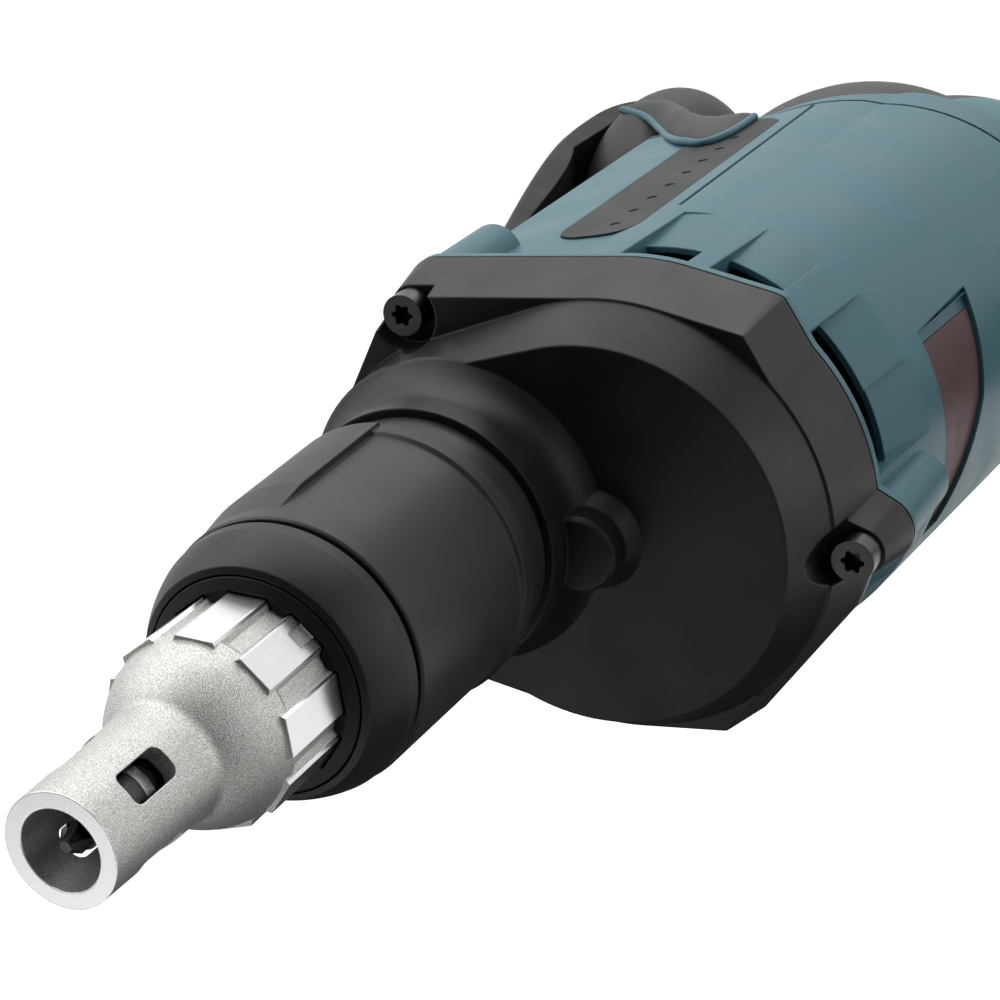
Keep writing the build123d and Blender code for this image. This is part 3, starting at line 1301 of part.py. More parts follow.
with BuildPart() as brush_holders:
    for side in (1, -1):
        near = side * HOLDER_START
        far = side * (HOLDER_START + HOLDER_LENGTH)
        block(
            (BRUSH_STATION - holder_x, -MOTOR_DROP - holder_y, min(near, far)),
            (BRUSH_STATION + holder_x, -MOTOR_DROP + holder_y, max(near, far)),
        )
        far = side * (HOLDER_START + HOLDER_LENGTH - HOLDER_WALL)
        block(
            (BRUSH_STATION - channel_x, -MOTOR_DROP - channel_y, min(near, far)),
            (BRUSH_STATION + channel_x, -MOTOR_DROP + channel_y, max(near, far)),
            Mode.SUBTRACT,
        )
brush_holders.part.label = "brush_holders"

with BuildPart() as carbon_brushes:
    for side in (1, -1):
        near = side * BRUSH_START
        far = side * (BRUSH_START + BRUSH_LENGTH)
        block(
            (BRUSH_STATION - BRUSH_WIDTH / 2, -MOTOR_DROP - BRUSH_THICK / 2, min(near, far)),
            (BRUSH_STATION + BRUSH_WIDTH / 2, -MOTOR_DROP + BRUSH_THICK / 2, max(near, far)),
        )
        rod(
            BRUSH_STATION - BRUSH_WIDTH / 2,
            BRUSH_STATION + BRUSH_WIDTH / 2,
            COMMUTATOR_RADIUS + 0.3,
            MOTOR_CENTRE,
            Mode.SUBTRACT,
        )
carbon_brushes.part.label = "carbon_brushes"

BRUSH_SPRING_WIRE = 0.35
with BuildPart() as brush_springs:
    for side in (1, -1):
        start = BRUSH_START + BRUSH_LENGTH + BRUSH_SPRING_WIRE + 0.1
        room = HOLDER_START + HOLDER_LENGTH - HOLDER_WALL - start - BRUSH_SPRING_WIRE - 0.1
        add(coil((BRUSH_STATION, -MOTOR_DROP, side * start), (0, 0, side), room, 2.0, BRUSH_SPRING_WIRE, 2.5))
brush_springs.part.label = "brush_springs"

# Motor housing
STRIP_MIDDLE = (
    (SHOULDER_LOW[0] + SHOULDER_MIDDLE[0]) / 2,
    (SHOULDER_LOW[1] + SHOULDER_MIDDLE[1]) / 2,
)
FACET = hypot(SHOULDER_LOW[0] - SHOULDER_MIDDLE[0], SHOULDER_LOW[1] - SHOULDER_MIDDLE[1])
FACET_NORMAL = (
    (SHOULDER_LOW[1] - SHOULDER_MIDDLE[1]) / FACET,
    (SHOULDER_MIDDLE[0] - SHOULDER_LOW[0]) / FACET,
)
STRIP_FRONT = HOUSING_FRONT + 18.5
STRIP_DEPTH = 0.9
VENT_FRONT = HOUSING_RIM + 0.2           # from the housing's front
VENT_FLOOR = CAVITY_RADIUS - 2.0         # the slots open into the motor space


def strip_plane(side):
    """Plane on the flat of one shoulder, facing out."""
    origin = (STRIP_FRONT + STRIP_LENGTH / 2, STRIP_MIDDLE[0], side * STRIP_MIDDLE[1])
    return Plane(origin=origin, x_dir=(1, 0, 0), z_dir=(0, FACET_NORMAL[0], side * FACET_NORMAL[1]))


def strip_outline(side, gap=0.0):
    """Long outline of a side strip with round ends."""
    radius = STRIP_WIDTH / 2 - 1.5
    with BuildSketch(strip_plane(side)) as outline:
        RectangleRounded(STRIP_LENGTH + 2 * gap, STRIP_WIDTH + 2 * gap, radius + gap)
    return outline.sketch


def label_layer(inner, outer, edge=0.0, head=0.0):
    """Curved layer between two radii inside the label's outline, drawn in at its edges and its head."""
    forward = min(point[0] for point in LABEL_OUTLINE)
    rearward = max(point[0] for point in LABEL_OUTLINE)
    outward = beside(FLARE_AXIS, LABEL_ANGLE).y_dir
    facing = Plane(origin=FLARE_AXIS.position, x_dir=FLARE_AXIS.direction, z_dir=outward)
    down = 1 if facing.y_dir.Z < 0 else -1
    with BuildPart() as ring:
        turned(band(forward - 1, rearward + 1, outer, inner), FLARE_AXIS)
    with BuildPart() as layer:
        with BuildSketch(facing):
            with BuildLine():
                Polyline(*[(x, down * y) for x, y in LABEL_OUTLINE], close=True)
            make_face()
            if edge:
                offset(amount=-edge, kind=Kind.INTERSECTION)
            with Locations(((forward + rearward) / 2, down * LABEL_OUTLINE[0][1])):
                Rectangle(2 * (rearward - forward), 2 * head + 0.01, mode=Mode.SUBTRACT)
        extrude(amount=2 * HOUSING_RADIUS)
        add(ring.part, mode=Mode.INTERSECT)
    return layer.part


with BuildPart() as motor_housing:
    slab(housing_outline(HOUSING_FRONT), BACK + 40 - HOUSING_FRONT)
    turned(band(FLARE_START, BACK + 40 - HOUSING_FRONT, HOUSING_RADIUS), FLARE_AXIS)
    with Locations(PALM_CENTRE):
        Sphere(PALM_RADIUS)
    for low, high, slot, depth in VENTS:
        ramp_front = VENT_FRONT + slot
        ramp_rear = ramp_front + VENT_RAMP
        lip_top = HOUSING_RADIUS - depth
        for start in (low, 360 - high):
            turned(
                (
                    (VENT_FRONT, HOUSING_RADIUS + 6),
                    (VENT_FRONT, VENT_FLOOR),
                    (ramp_front + VENT_UNDERCUT, VENT_FLOOR),
                    (ramp_front + VENT_UNDERCUT, lip_top - VENT_LIP),
                    (ramp_front, lip_top - VENT_LIP),
                    (ramp_front, lip_top),
                    (ramp_rear, HOUSING_RADIUS + 0.05),
                    (ramp_rear, HOUSING_RADIUS + 6),
                ),
                FLARE_AXIS,
                start=start,
                arc=high - low,
                mode=Mode.SUBTRACT,
            )
    slab(case_outline(HOUSING_FRONT), HOUSING_RIM)
    for spot in SCREW_SPOTS:
        rod(HOUSING_FRONT, SCREW_SEAT + SCREW_REACH + 2, SCREW_BOSS_RADIUS - 0.6, spot)
    rod(HOUSING_FRONT - 1, BACK, CAVITY_RADIUS, MOTOR_CENTRE, Mode.SUBTRACT)
    turned(
        (
            (BACK + 4, 13),
            (BACK + 4, CAVITY_RADIUS),
            (BACK + 60, CAVITY_RADIUS),
            (BACK + 60, 0),
            (BACK + 8.5, 0),
            (BACK + 8.5, 13),
        ),
        MOTOR_AXIS,
        mode=Mode.SUBTRACT,
    )
    rod(BACK - 1, REAR_BEARING_REAR, REAR_BEARING_OUTER + FIT_GAP, MOTOR_CENTRE, Mode.SUBTRACT)
    rod(BACK, BACK + 12, REAR_SEAT_RADIUS + 1.5, MOTOR_CENTRE, Mode.SUBTRACT)
    with BuildSketch(across(BACK - 1)):
        with Locations(MOTOR_CENTRE):
            with PolarLocations(CAVITY_RADIUS - 9, 8, start_angle=22.5):
                Circle(4.5)
    extrude(amount=8, mode=Mode.SUBTRACT)
    block((HOUSING_FRONT + 30, 12.5, -17), (BACK + 45, 19, 17), Mode.SUBTRACT)
    side_plate(seam_region(-SEAM_GAP / 2, BACK + 90), CLEAR, Mode.SUBTRACT)
    for spot in SCREW_SPOTS:
        rod(HOUSING_FRONT - 1, SCREW_SEAT + SCREW_REACH + 1, SCREW_RADIUS + FIT_GAP, spot, Mode.SUBTRACT)
    add(label_layer(HOUSING_RADIUS - LABEL_RECESS, HOUSING_RADIUS + 1), mode=Mode.SUBTRACT)
    line_front = HOUSING_FRONT + PANEL_LINE_START
    for start in (PANEL_LINE_ANGLE, 360 - PANEL_LINE_ANGLE - PANEL_LINE_ARC):
        turned(
            band(
                line_front,
                line_front + PANEL_LINE_LENGTH,
                HOUSING_RADIUS + 1,
                HOUSING_RADIUS - PANEL_LINE_DEPTH,
            ),
            MOTOR_AXIS,
            start=start,
            arc=PANEL_LINE_ARC,
            mode=Mode.SUBTRACT,
        )
    for side in (1, -1):
        extrude(strip_outline(side, STRIP_GAP), amount=-STRIP_DEPTH, mode=Mode.SUBTRACT)
        extrude(strip_outline(side, STRIP_GAP), amount=STRIP_PROUD + 1, mode=Mode.SUBTRACT)
    for rib in range(8):
        turned(
            band(STATOR_FRONT, STATOR_REAR, CAVITY_RADIUS + 0.5, STATOR_RADIUS + FIT_GAP),
            MOTOR_AXIS,
            start=45 * rib - 5,
            arc=10,
        )
motor_housing.part.label = "motor_housing"

with BuildPart() as rating_label:
    label_foot = HOUSING_RADIUS - LABEL_RECESS + FIT_GAP
    add(label_layer(label_foot, label_foot + LABEL_THICK, LABEL_EDGE, LABEL_HEAD))
rating_label.part.label = "rating_label"


def side_strip(side):
    """Soft strip in the shoulder with one row of dimples."""
    with BuildPart() as strip:
        extrude(strip_outline(side), amount=STRIP_PROUD)
        extrude(strip_outline(side), amount=-STRIP_DEPTH + FIT_GAP)
        count = int((STRIP_LENGTH - 8) / DIMPLE_PITCH)
        with BuildSketch(strip_plane(side).offset(STRIP_PROUD)) as dimples:
            for spot in range(count):
                with Locations((-STRIP_LENGTH / 2 + 6 + spot * DIMPLE_PITCH, -side * 2.0)):
                    Circle(DIMPLE_RADIUS)
        extrude(dimples.sketch, amount=-DIMPLE_DEPTH, mode=Mode.SUBTRACT)
    return strip.part


with BuildPart() as left_side_strip:
    add(side_strip(1))
left_side_strip.part.label = "left_side_strip"

with BuildPart() as right_side_strip:
    add(side_strip(-1))
right_side_strip.part.label = "right_side_strip"

# Handle shells, their soft grips and what they carry
TRIGGER_FRONT = BACK + 18
TRIGGER_REAR = BACK + 37
SWITCH_FRONT = BACK + 45
SWITCH_REAR = BACK + 55.5
SWITCH_TOP = TRIGGER_TOP - 1
SWITCH_BOTTOM = TRIGGER_BOTTOM - 5
SWITCH_HALF = 8.0
LOCK_SPOT = (BACK + 50.0, (SWITCH_TOP + SWITCH_BOTTOM) / 2)
SLIDER_LOW = (BACK + 29, TRIGGER_TOP + 2.0)
SLIDER_HIGH = (BACK + 37, TRIGGER_TOP + 7.0)
SLIDER_HALF = HANDLE_HALF_WIDTH + SLIDER_TRAVEL + 0.5
CABLE_SPOT = BACK + 56.0
GROMMET_NECK = CABLE_RADIUS + 2.7
HANDLE_SCREW_RADIUS = 1.7
HANDLE_SCREW_HEAD = 3.4
HANDLE_SCREW_HEAD_HEIGHT = 3.0
HANDLE_SCREW_REACH = 9.0     # past the joint between the shells
HOOK_SCREW_REACH = 14.0
POST_RADIUS = 4.5
HANDLE_SCREWS = (
    (BACK + 42, HANDLE_BOTTOM + 10, HANDLE_HALF_WIDTH - 6.5),
    (BACK + 66, HANDLE_BOTTOM + 22, HANDLE_HALF_WIDTH - 6.5),
    (BACK + 51, SWITCH_TOP + 13, HANDLE_HALF_WIDTH - 6.5),
    (BACK + 45, 12, HANDLE_HALF_WIDTH - 6.5),
)
HOOK_SCREWS = (
    (HUMP_CENTRE[0], HOOK_SCREW_SPACING / 2),
    (HUMP_CENTRE[0], -HOOK_SCREW_SPACING / 2),
)
GRIP_LINE = (
    (BACK + 16, HOOK_SEAT + 9),
    (BACK + 9, 27),
    (BACK + 6, 17),
    (BACK + 8, 6),
    (BACK + 13, -8),
    (BACK + 19, -22),
    (BACK + 27, -34),
    (BACK + 40, -44),
    (BACK + 56, -60),
    (BACK + 59, TRIGGER_BOTTOM + 9),
    (BACK + 66, HANDLE_BOTTOM + 12),
    (BACK + 100, HANDLE_BOTTOM + 12),
    (BACK + 100, HOOK_SEAT + 9),
)

rear_skin = rear_body(0.0)


def handle_hollow():
    """Room inside the handle, with posts left standing round the screws."""
    with BuildPart() as hollow:
        add(rear_body(HANDLE_WALL))
        for x, y, seat in HANDLE_SCREWS:
            pin((x, y, -40), (0, 0, 1), 80, POST_RADIUS, Mode.SUBTRACT)
        for x, z in HOOK_SCREWS:
            pin((x, HOOK_SEAT, z), (0, -1, 0), HOOK_SCREW_REACH + 2, POST_RADIUS, Mode.SUBTRACT)
    return hollow.part


def grip_layer():
    """Outer layer of the rear body behind the grip line."""
    with BuildPart() as layer:
        side_plate(GRIP_LINE, CLEAR)
        add(rear_skin, mode=Mode.INTERSECT)
        add(rear_body(GRIP_THICK), mode=Mode.SUBTRACT)
    return layer.part


soft_layer = grip_layer()

with BuildPart() as handle_pair:
    add(rear_skin)
    add(handle_hollow(), mode=Mode.SUBTRACT)
    side_plate(seam_region(SEAM_GAP / 2, 0), CLEAR, Mode.SUBTRACT)
    add(soft_layer, mode=Mode.SUBTRACT)
    trigger_half = TRIGGER_WIDTH / 2 + SLIDE_GAP
    block(
        (BACK, TRIGGER_BOTTOM - SLIDE_GAP, -trigger_half),
        (BACK + 40, TRIGGER_TOP + SLIDE_GAP, trigger_half),
        Mode.SUBTRACT,
    )
    block(
        (SLIDER_LOW[0] - SLIDE_GAP, SLIDER_LOW[1] - SLIDE_GAP, -40),
        (SLIDER_HIGH[0] + SLIDE_GAP, SLIDER_HIGH[1] + SLIDE_GAP, 40),
        Mode.SUBTRACT,
    )
    pin((LOCK_SPOT[0], LOCK_SPOT[1], SWITCH_HALF), (0, 0, 1), 40, LOCK_RADIUS + SLIDE_GAP, Mode.SUBTRACT)
    pin((CABLE_SPOT, HANDLE_BOTTOM - 5, 0), (0, 1, 0), 9, GROMMET_NECK + FIT_GAP, Mode.SUBTRACT)
    for x, y, seat in HANDLE_SCREWS:
        hole_end = HANDLE_SCREW_REACH + 1
        pin((x, y, -CLEAR), (0, 0, 1), CLEAR - seat, HANDLE_SCREW_HEAD + 0.5, Mode.SUBTRACT)
        pin((x, y, -CLEAR), (0, 0, 1), CLEAR + hole_end, HANDLE_SCREW_RADIUS + FIT_GAP, Mode.SUBTRACT)
    for x, z in HOOK_SCREWS:
        hole_top = (x, HOOK_SEAT + 1, z)
        pin(hole_top, (0, -1, 0), HOOK_SCREW_REACH, HANDLE_SCREW_RADIUS + FIT_GAP, Mode.SUBTRACT)


def one_half(whole, side):
    """Left or right half of a part that both sides share."""
    with BuildPart() as half:
        add(whole)
        split(bisect_by=Plane.XY.offset(side * 0.05), keep=Keep.TOP if side > 0 else Keep.BOTTOM)
    return half.part


with BuildPart() as left_handle_shell:
    add(one_half(handle_pair.part, 1))
left_handle_shell.part.label = "left_handle_shell"

with BuildPart() as right_handle_shell:
    add(one_half(handle_pair.part, -1))
right_handle_shell.part.label = "right_handle_shell"

with BuildPart() as grip_pair:
    add(soft_layer)
    for x, y, seat in HANDLE_SCREWS:
        pin((x, y, -CLEAR), (0, 0, 1), CLEAR, HANDLE_SCREW_HEAD + 0.5, Mode.SUBTRACT)
    for x, z in HOOK_SCREWS:
        hole_top = (x, HOOK_SEAT + 1, z)
        pin(hole_top, (0, -1, 0), 2 * GRIP_THICK, HANDLE_SCREW_RADIUS + 0.1, Mode.SUBTRACT)

with BuildPart() as left_soft_grip:
    add(one_half(grip_pair.part, 1))
left_soft_grip.part.label = "left_soft_grip"

with BuildPart() as right_soft_grip:
    add(one_half(grip_pair.part, -1))
right_soft_grip.part.label = "right_soft_grip"

with BuildPart() as handle_screws:
    for x, y, seat in HANDLE_SCREWS:
        head_face = (x, y, -seat - HANDLE_SCREW_HEAD_HEIGHT)
        pin((x, y, -seat), (0, 0, -1), HANDLE_SCREW_HEAD_HEIGHT, HANDLE_SCREW_HEAD)
        pin((x, y, -seat), (0, 0, 1), seat + HANDLE_SCREW_REACH, HANDLE_SCREW_RADIUS)
        pin(head_face, (0, 0, 1), 1.6, 1.3, Mode.SUBTRACT)
handle_screws.part.label = "handle_screws"

# Trigger, with a blind hole for its return spring
TRIGGER_SPRING_RADIUS = 2.6
TRIGGER_SPRING_WIRE = 0.45
TRIGGER_SPRING_HEIGHT = TRIGGER_TOP - 8
TRIGGER_HOLE_END = TRIGGER_REAR - 12
with BuildPart() as trigger:
    with BuildSketch(Plane.XY):
        with BuildLine():
            Spline(
                (TRIGGER_FRONT + 5, TRIGGER_TOP),
                (TRIGGER_FRONT + 2, TRIGGER_TOP - 9),
                (TRIGGER_FRONT + 1.6, TRIGGER_TOP - 18),
                (TRIGGER_FRONT, TRIGGER_BOTTOM),
            )
            Polyline(
                (TRIGGER_FRONT, TRIGGER_BOTTOM),
                (TRIGGER_REAR, TRIGGER_BOTTOM),
                (TRIGGER_REAR, TRIGGER_TOP),
                (TRIGGER_FRONT + 5, TRIGGER_TOP),
            )
        make_face()
    extrude(amount=TRIGGER_WIDTH / 2, both=True)
    fillet(trigger.edges().filter_by(GeomType.BSPLINE), 3)
    rod(
        TRIGGER_HOLE_END,
        TRIGGER_REAR,
        TRIGGER_SPRING_RADIUS + TRIGGER_SPRING_WIRE + SLIDE_GAP,
        (TRIGGER_SPRING_HEIGHT, 0),
        Mode.SUBTRACT,
    )
trigger.part.label = "trigger"

with BuildPart() as trigger_spring:
    spring_front = TRIGGER_HOLE_END + TRIGGER_TRAVEL + 1
    spring_room = SWITCH_FRONT - spring_front - TRIGGER_SPRING_WIRE - 0.05
    add(
        coil(
            (spring_front, TRIGGER_SPRING_HEIGHT, 0),
            (1, 0, 0),
            spring_room,
            TRIGGER_SPRING_RADIUS,
            TRIGGER_SPRING_WIRE,
            5,
        )
    )
trigger_spring.part.label = "trigger_spring"

with BuildPart() as switch_module:
    block((SWITCH_FRONT, SWITCH_BOTTOM, -SWITCH_HALF), (SWITCH_REAR, SWITCH_TOP, SWITCH_HALF))
    block((SWITCH_REAR - 3, SWITCH_BOTTOM - 3, -5), (SWITCH_REAR - 1, SWITCH_BOTTOM + 1, -2))
    block((SWITCH_REAR - 3, SWITCH_BOTTOM - 3, 2), (SWITCH_REAR - 1, SWITCH_BOTTOM + 1, 5))
switch_module.part.label = "switch_module"

with BuildPart() as suppression_capacitor:
    block((SWITCH_FRONT - 6, SWITCH_BOTTOM - 12, -6), (SWITCH_REAR - 4, SWITCH_BOTTOM - 0.1, 6))
suppression_capacitor.part.label = "suppression_capacitor"

# Lock button, a cup over its spring
LOCK_TOP = HANDLE_HALF_WIDTH + 2.5
LOCK_FOOT = SWITCH_HALF + LOCK_TRAVEL + 1.0
LOCK_SPRING_WIRE = 0.35
LOCK_CROWN = 2.0         # thickness of the button's end
LOCK_CUP = LOCK_RADIUS - 1.4
with BuildPart() as lock_button:
    lock_base = (LOCK_SPOT[0], LOCK_SPOT[1], LOCK_FOOT)
    pin(lock_base, (0, 0, 1), LOCK_TOP - LOCK_FOOT, LOCK_RADIUS)
    fillet(lock_button.edges().sort_by(Axis.Z)[-1], 1.2)
    pin(lock_base, (0, 0, 1), LOCK_TOP - LOCK_FOOT - LOCK_CROWN, LOCK_CUP, Mode.SUBTRACT)
lock_button.part.label = "lock_button"

with BuildPart() as lock_button_spring:
    lock_spring_start = SWITCH_HALF + LOCK_SPRING_WIRE + 0.05
    lock_spring_room = LOCK_TOP - LOCK_CROWN - LOCK_TRAVEL - 0.8 - lock_spring_start
    add(
        coil(
            (LOCK_SPOT[0], LOCK_SPOT[1], lock_spring_start),
            (0, 0, 1),
            lock_spring_room,
            LOCK_CUP - LOCK_SPRING_WIRE - SLIDE_GAP,
            LOCK_SPRING_WIRE,
            4,
        )
    )
lock_button_spring.part.label = "lock_button_spring"

# Reversing slider that reaches through the handle above the trigger
with BuildPart() as reversing_slider:
    block((SLIDER_LOW[0], SLIDER_LOW[1], -SLIDER_HALF), (SLIDER_HIGH[0], SLIDER_HIGH[1], SLIDER_HALF))
    layers = reversing_slider.edges().group_by(Axis.Z)
    fillet(layers[0] + layers[-1], 1.0)
reversing_slider.part.label = "reversing_slider"

# Cable inlet at the foot of the handle
with BuildPart() as cable_inlet_grommet:
    foot = HANDLE_BOTTOM
    inlet_axis = Axis((CABLE_SPOT, 0, 0), (0, 1, 0))
    with BuildSketch(Plane.XY):
        with BuildLine():
            Polyline(
                (CABLE_SPOT + CABLE_RADIUS, foot - 9),
                (CABLE_SPOT + GROMMET_NECK, foot - 9),
                (CABLE_SPOT + GROMMET_NECK + 2, foot - 0.05),
                (CABLE_SPOT + GROMMET_NECK, foot - 0.05),
                (CABLE_SPOT + GROMMET_NECK, foot + HANDLE_WALL + 0.05),
                (CABLE_SPOT + GROMMET_NECK + 2, foot + HANDLE_WALL + 0.05),
                (CABLE_SPOT + GROMMET_NECK + 2, foot + HANDLE_WALL + 3),
                (CABLE_SPOT + CABLE_RADIUS, foot + HANDLE_WALL + 3),
                close=True,
            )
        make_face()
    revolve(axis=inlet_axis)
cable_inlet_grommet.part.label = "cable_inlet_grommet"

# Belt hook on the hump, open to the front
HOOK_ROOT = (BACK + 16.5, BACK + 57)
HOOK_FOOT = HOOK_SEAT + 0.1
HOOK_SCREW_SEAT = 3.5
with BuildPart() as belt_hook:
    with BuildSketch(Plane.XY):
        with BuildLine():
            Spline(
                (BACK - 38.5, 27.0),
                (BACK - 16, 33),
                (BACK + 6, 38.4),
                (BACK + 21, 41.3),
                (BACK + 38, 42.6),
                (BACK + 51, 41.2),
                (HOOK_ROOT[1], HOOK_FOOT + 1),
            )
            Polyline((HOOK_ROOT[1], HOOK_FOOT + 1), (HOOK_ROOT[1], HOOK_FOOT), (HOOK_ROOT[0], HOOK_FOOT))
            Spline(
                (HOOK_ROOT[0], HOOK_FOOT),
                (BACK + 6, 32.6),
                (BACK - 15, 27.9),
                (BACK - 35, 24.0),
            )
            ThreePointArc((BACK - 35, 24.0), (BACK - 38.9, 24.6), (BACK - 38.5, 27.0))
        make_face()
    extrude(amount=HOOK_HALF_WIDTH, both=True)
    fillet(belt_hook.edges().filter_by(GeomType.BSPLINE).sort_by(Axis.Y)[-2:], HOOK_ROUND)
    for x, z in HOOK_SCREWS:
        pin((x, HOOK_FOOT + HOOK_SCREW_SEAT, z), (0, 1, 0), 10, HANDLE_SCREW_HEAD + 0.2, Mode.SUBTRACT)
        pin((x, HOOK_FOOT, z), (0, 1, 0), 10, HANDLE_SCREW_RADIUS + 0.1, Mode.SUBTRACT)
belt_hook.part.label = "belt_hook"

with BuildPart() as belt_hook_screws:
    for x, z in HOOK_SCREWS:
        pin((x, HOOK_FOOT + HOOK_SCREW_SEAT, z), (0, 1, 0), 2.2, HANDLE_SCREW_HEAD)
        pin((x, HOOK_FOOT + HOOK_SCREW_SEAT, z), (0, -1, 0), HOOK_SCREW_REACH, HANDLE_SCREW_RADIUS)
        pin((x, HOOK_FOOT + HOOK_SCREW_SEAT + 1, z), (0, 1, 0), 2, 1.2, Mode.SUBTRACT)
belt_hook_screws.part.label = "belt_hook_screws"

os.makedirs("parts", exist_ok=True)
for piece in (
    depth_stop_nose,
    depth_stop_carrier,
    nose_snap_ring,
    depth_adjust_ring,
    adjust_ring_clip,
    neck_sleeve,
    gear_case,
    gear_case_screws,
    gear_case_gasket,
    bearing_plate,
    bearing_plate_screws,
    spindle,
    socket_clip,
    spindle_bush,
    spindle_rear_bush,
    clutch_spring,
    gear_wheel,
    gear_thrust_washer,
    screwdriver_bit,
    bit_magnet,
    bit_holder,
    holder_retaining_ring,
    armature_shaft,
    pinion_bush,
    armature_core,
    armature_windings,
    commutator,
    cooling_fan,
    front_ball_bearing,
    rear_ball_bearing,
    stator_core,
    field_coils,
    brush_carrier,
    brush_holders,
    carbon_brushes,
    brush_springs,
    motor_housing,
    rating_label,
    left_side_strip,
    right_side_strip,
    left_handle_shell,
    right_handle_shell,
    left_soft_grip,
    right_soft_grip,
    handle_screws,
    trigger,
    trigger_spring,
    switch_module,
    suppression_capacitor,
    lock_button,
    lock_button_spring,
    reversing_slider,
    cable_inlet_grommet,
    belt_hook,
    belt_hook_screws,
):
    export_step(piece.part, f"parts/{piece.part.label}.step")
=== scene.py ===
from math import pi, sin

import bpy
from mathutils import Matrix, Vector


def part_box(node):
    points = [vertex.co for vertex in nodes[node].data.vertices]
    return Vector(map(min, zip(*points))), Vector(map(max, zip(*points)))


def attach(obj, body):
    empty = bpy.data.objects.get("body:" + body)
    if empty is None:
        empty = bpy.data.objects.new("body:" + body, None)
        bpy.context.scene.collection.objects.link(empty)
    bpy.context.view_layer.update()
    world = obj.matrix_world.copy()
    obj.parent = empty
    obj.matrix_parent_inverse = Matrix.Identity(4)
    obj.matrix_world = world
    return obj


# Looks of the drywall screwdriver, in metres and in the frame of the CAD model: X runs back along the
# spindle, Y to the tool's top and Z to its left side. Z points up, so the left side lies uppermost.

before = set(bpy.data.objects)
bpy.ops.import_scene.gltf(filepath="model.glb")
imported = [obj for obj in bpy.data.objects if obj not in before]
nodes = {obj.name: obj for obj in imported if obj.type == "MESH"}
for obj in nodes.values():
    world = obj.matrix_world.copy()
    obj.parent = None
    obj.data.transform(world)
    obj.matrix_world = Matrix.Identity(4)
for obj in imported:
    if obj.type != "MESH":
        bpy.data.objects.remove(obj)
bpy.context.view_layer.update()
MM = 0.001

# Places that the nose's finish follows
NOSE_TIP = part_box("depth_stop_nose")[0].x
FRONT_RING = NOSE_TIP + 0.12 * MM    # anything ahead of this is the polished front ring
RIB_START = NOSE_TIP + 31.5 * MM
RIB_LOW = 13.4 * MM                  # radius between the flutes and the flats of the ribs

# What all finishes share
NOISE_LOW, NOISE_HIGH = 0.3, 0.7     # most of a noise lies between these
EDGE_FLAT, EDGE_SHARP = 0.995, 0.86  # match of softened and true normal, off an edge and on it

# Moulded finishes
MOTTLE = 0.06                        # how far a colour varies, as a share
ROUGH_SPREAD = 0.06                  # how far the roughness varies
WEAR_SIZE = 1.7 * MM                 # patches in which edges are rubbed more or less
WEAR_LOW, WEAR_HIGH = 0.35, 0.65     # noise at which an edge is rubbed least and most
WEAR_LEAST, WEAR_MOST = 0.2, 0.25
WEAR_PALE = 0.03                     # added to a colour where it is rubbed
WEAR_LIGHT = 0.8                     # and then made lighter by this share

# Machined finishes
STREAK_DARK, STREAK_LIGHT = -0.12, 0.08
STREAK_DEPTH = 0.004 * MM
ALONG_X = (0.08, 1.0, 1.0)           # scale of a noise whose streaks run along X
WOUND = (0.05, 1.0, 1.0)             # the same with longer streaks, for wire
STACKED = (1.0, 0.02, 0.02)          # bands across X, for stacked sheets
EVERY_WAY = (1.0, 1.0, 1.0)
SMUDGE_SIZE = 6 * MM
SMUDGE_SMOOTH, SMUDGE_ROUGH = -0.05, 0.07
METAL_EDGE = 0.2 * MM
METAL_EDGE_LIGHT = 0.3

# Bead-blasted nose and its polished parts
PIT_SIZE = 0.11 * MM
PIT_DEPTH = 0.045 * MM
PIT_LOW, PIT_HIGH = 0.38, 0.62
BLASTED_DARK = (0.29, 0.286, 0.275)
BLASTED_LIGHT = (0.70, 0.69, 0.67)
BLASTED_ROUGH = 0.54
CLOUD_SIZE = 5 * MM
CLOUD_SHARE = 0.16
CLOUD_COLOUR = (0.33, 0.32, 0.305)
POLISH_SIZE = 0.2 * MM
POLISH_ALONG = (0.1, 1.0, 1.0)
POLISHED_DARK = (0.74, 0.74, 0.735)
POLISHED_LIGHT = (0.80, 0.80, 0.795)
POLISHED_ROUGH = 0.24
POLISHED_RELIEF = 0.05               # share of the pits' depth that polishing leaves
NOSE_EDGE = 0.3 * MM
NOSE_EDGE_SHARE = 0.5
NOSE_EDGE_COLOUR = (0.85, 0.85, 0.83)

# Soft lobe that runs from each cheek of the hump over the housing's rear end, and the bead round its edge:
# its outer edge and its inner edge on the hump, in millimetres
LOBE_EDGE = [
    (155.6, 32.6, 24.0), (149.4, 25.4, 25.0), (139.0, 18.0, 25.8),
    (121.1, 8.6, 29.6), (113.0, 2.4, 31.9), (110.8, -1.4, 32.8),
    (113.6, -3.6, 33.4), (120.0, -4.6, 33.6), (128.0, -4.8, 33.7),
]
LOBE_HUMP = [
    (157.6, 31.6, 24.6), (156.0, 26.5, 26.6), (156.0, 22.0, 26.8),
    (154.0, 18.0, 25.2), (150.0, 14.0, 24.0), (146.0, 9.0, 25.0),
    (142.0, 4.0, 27.6), (137.0, -0.5, 30.8), (130.0, -4.4, 33.4),
]
LOBE_CROWN = 0.10                    # how far the lobe swells, as a share of its width from edge to hump
LOBE_THICK = 5.0 * MM
LOBE_ROWS = 10
LOBE_COLUMNS = 48
PATH_STEPS = 12                      # steps of a smooth path between two of its corner points
BEAD_RADIUS = 0.75 * MM
BEAD_ROUNDNESS = 4

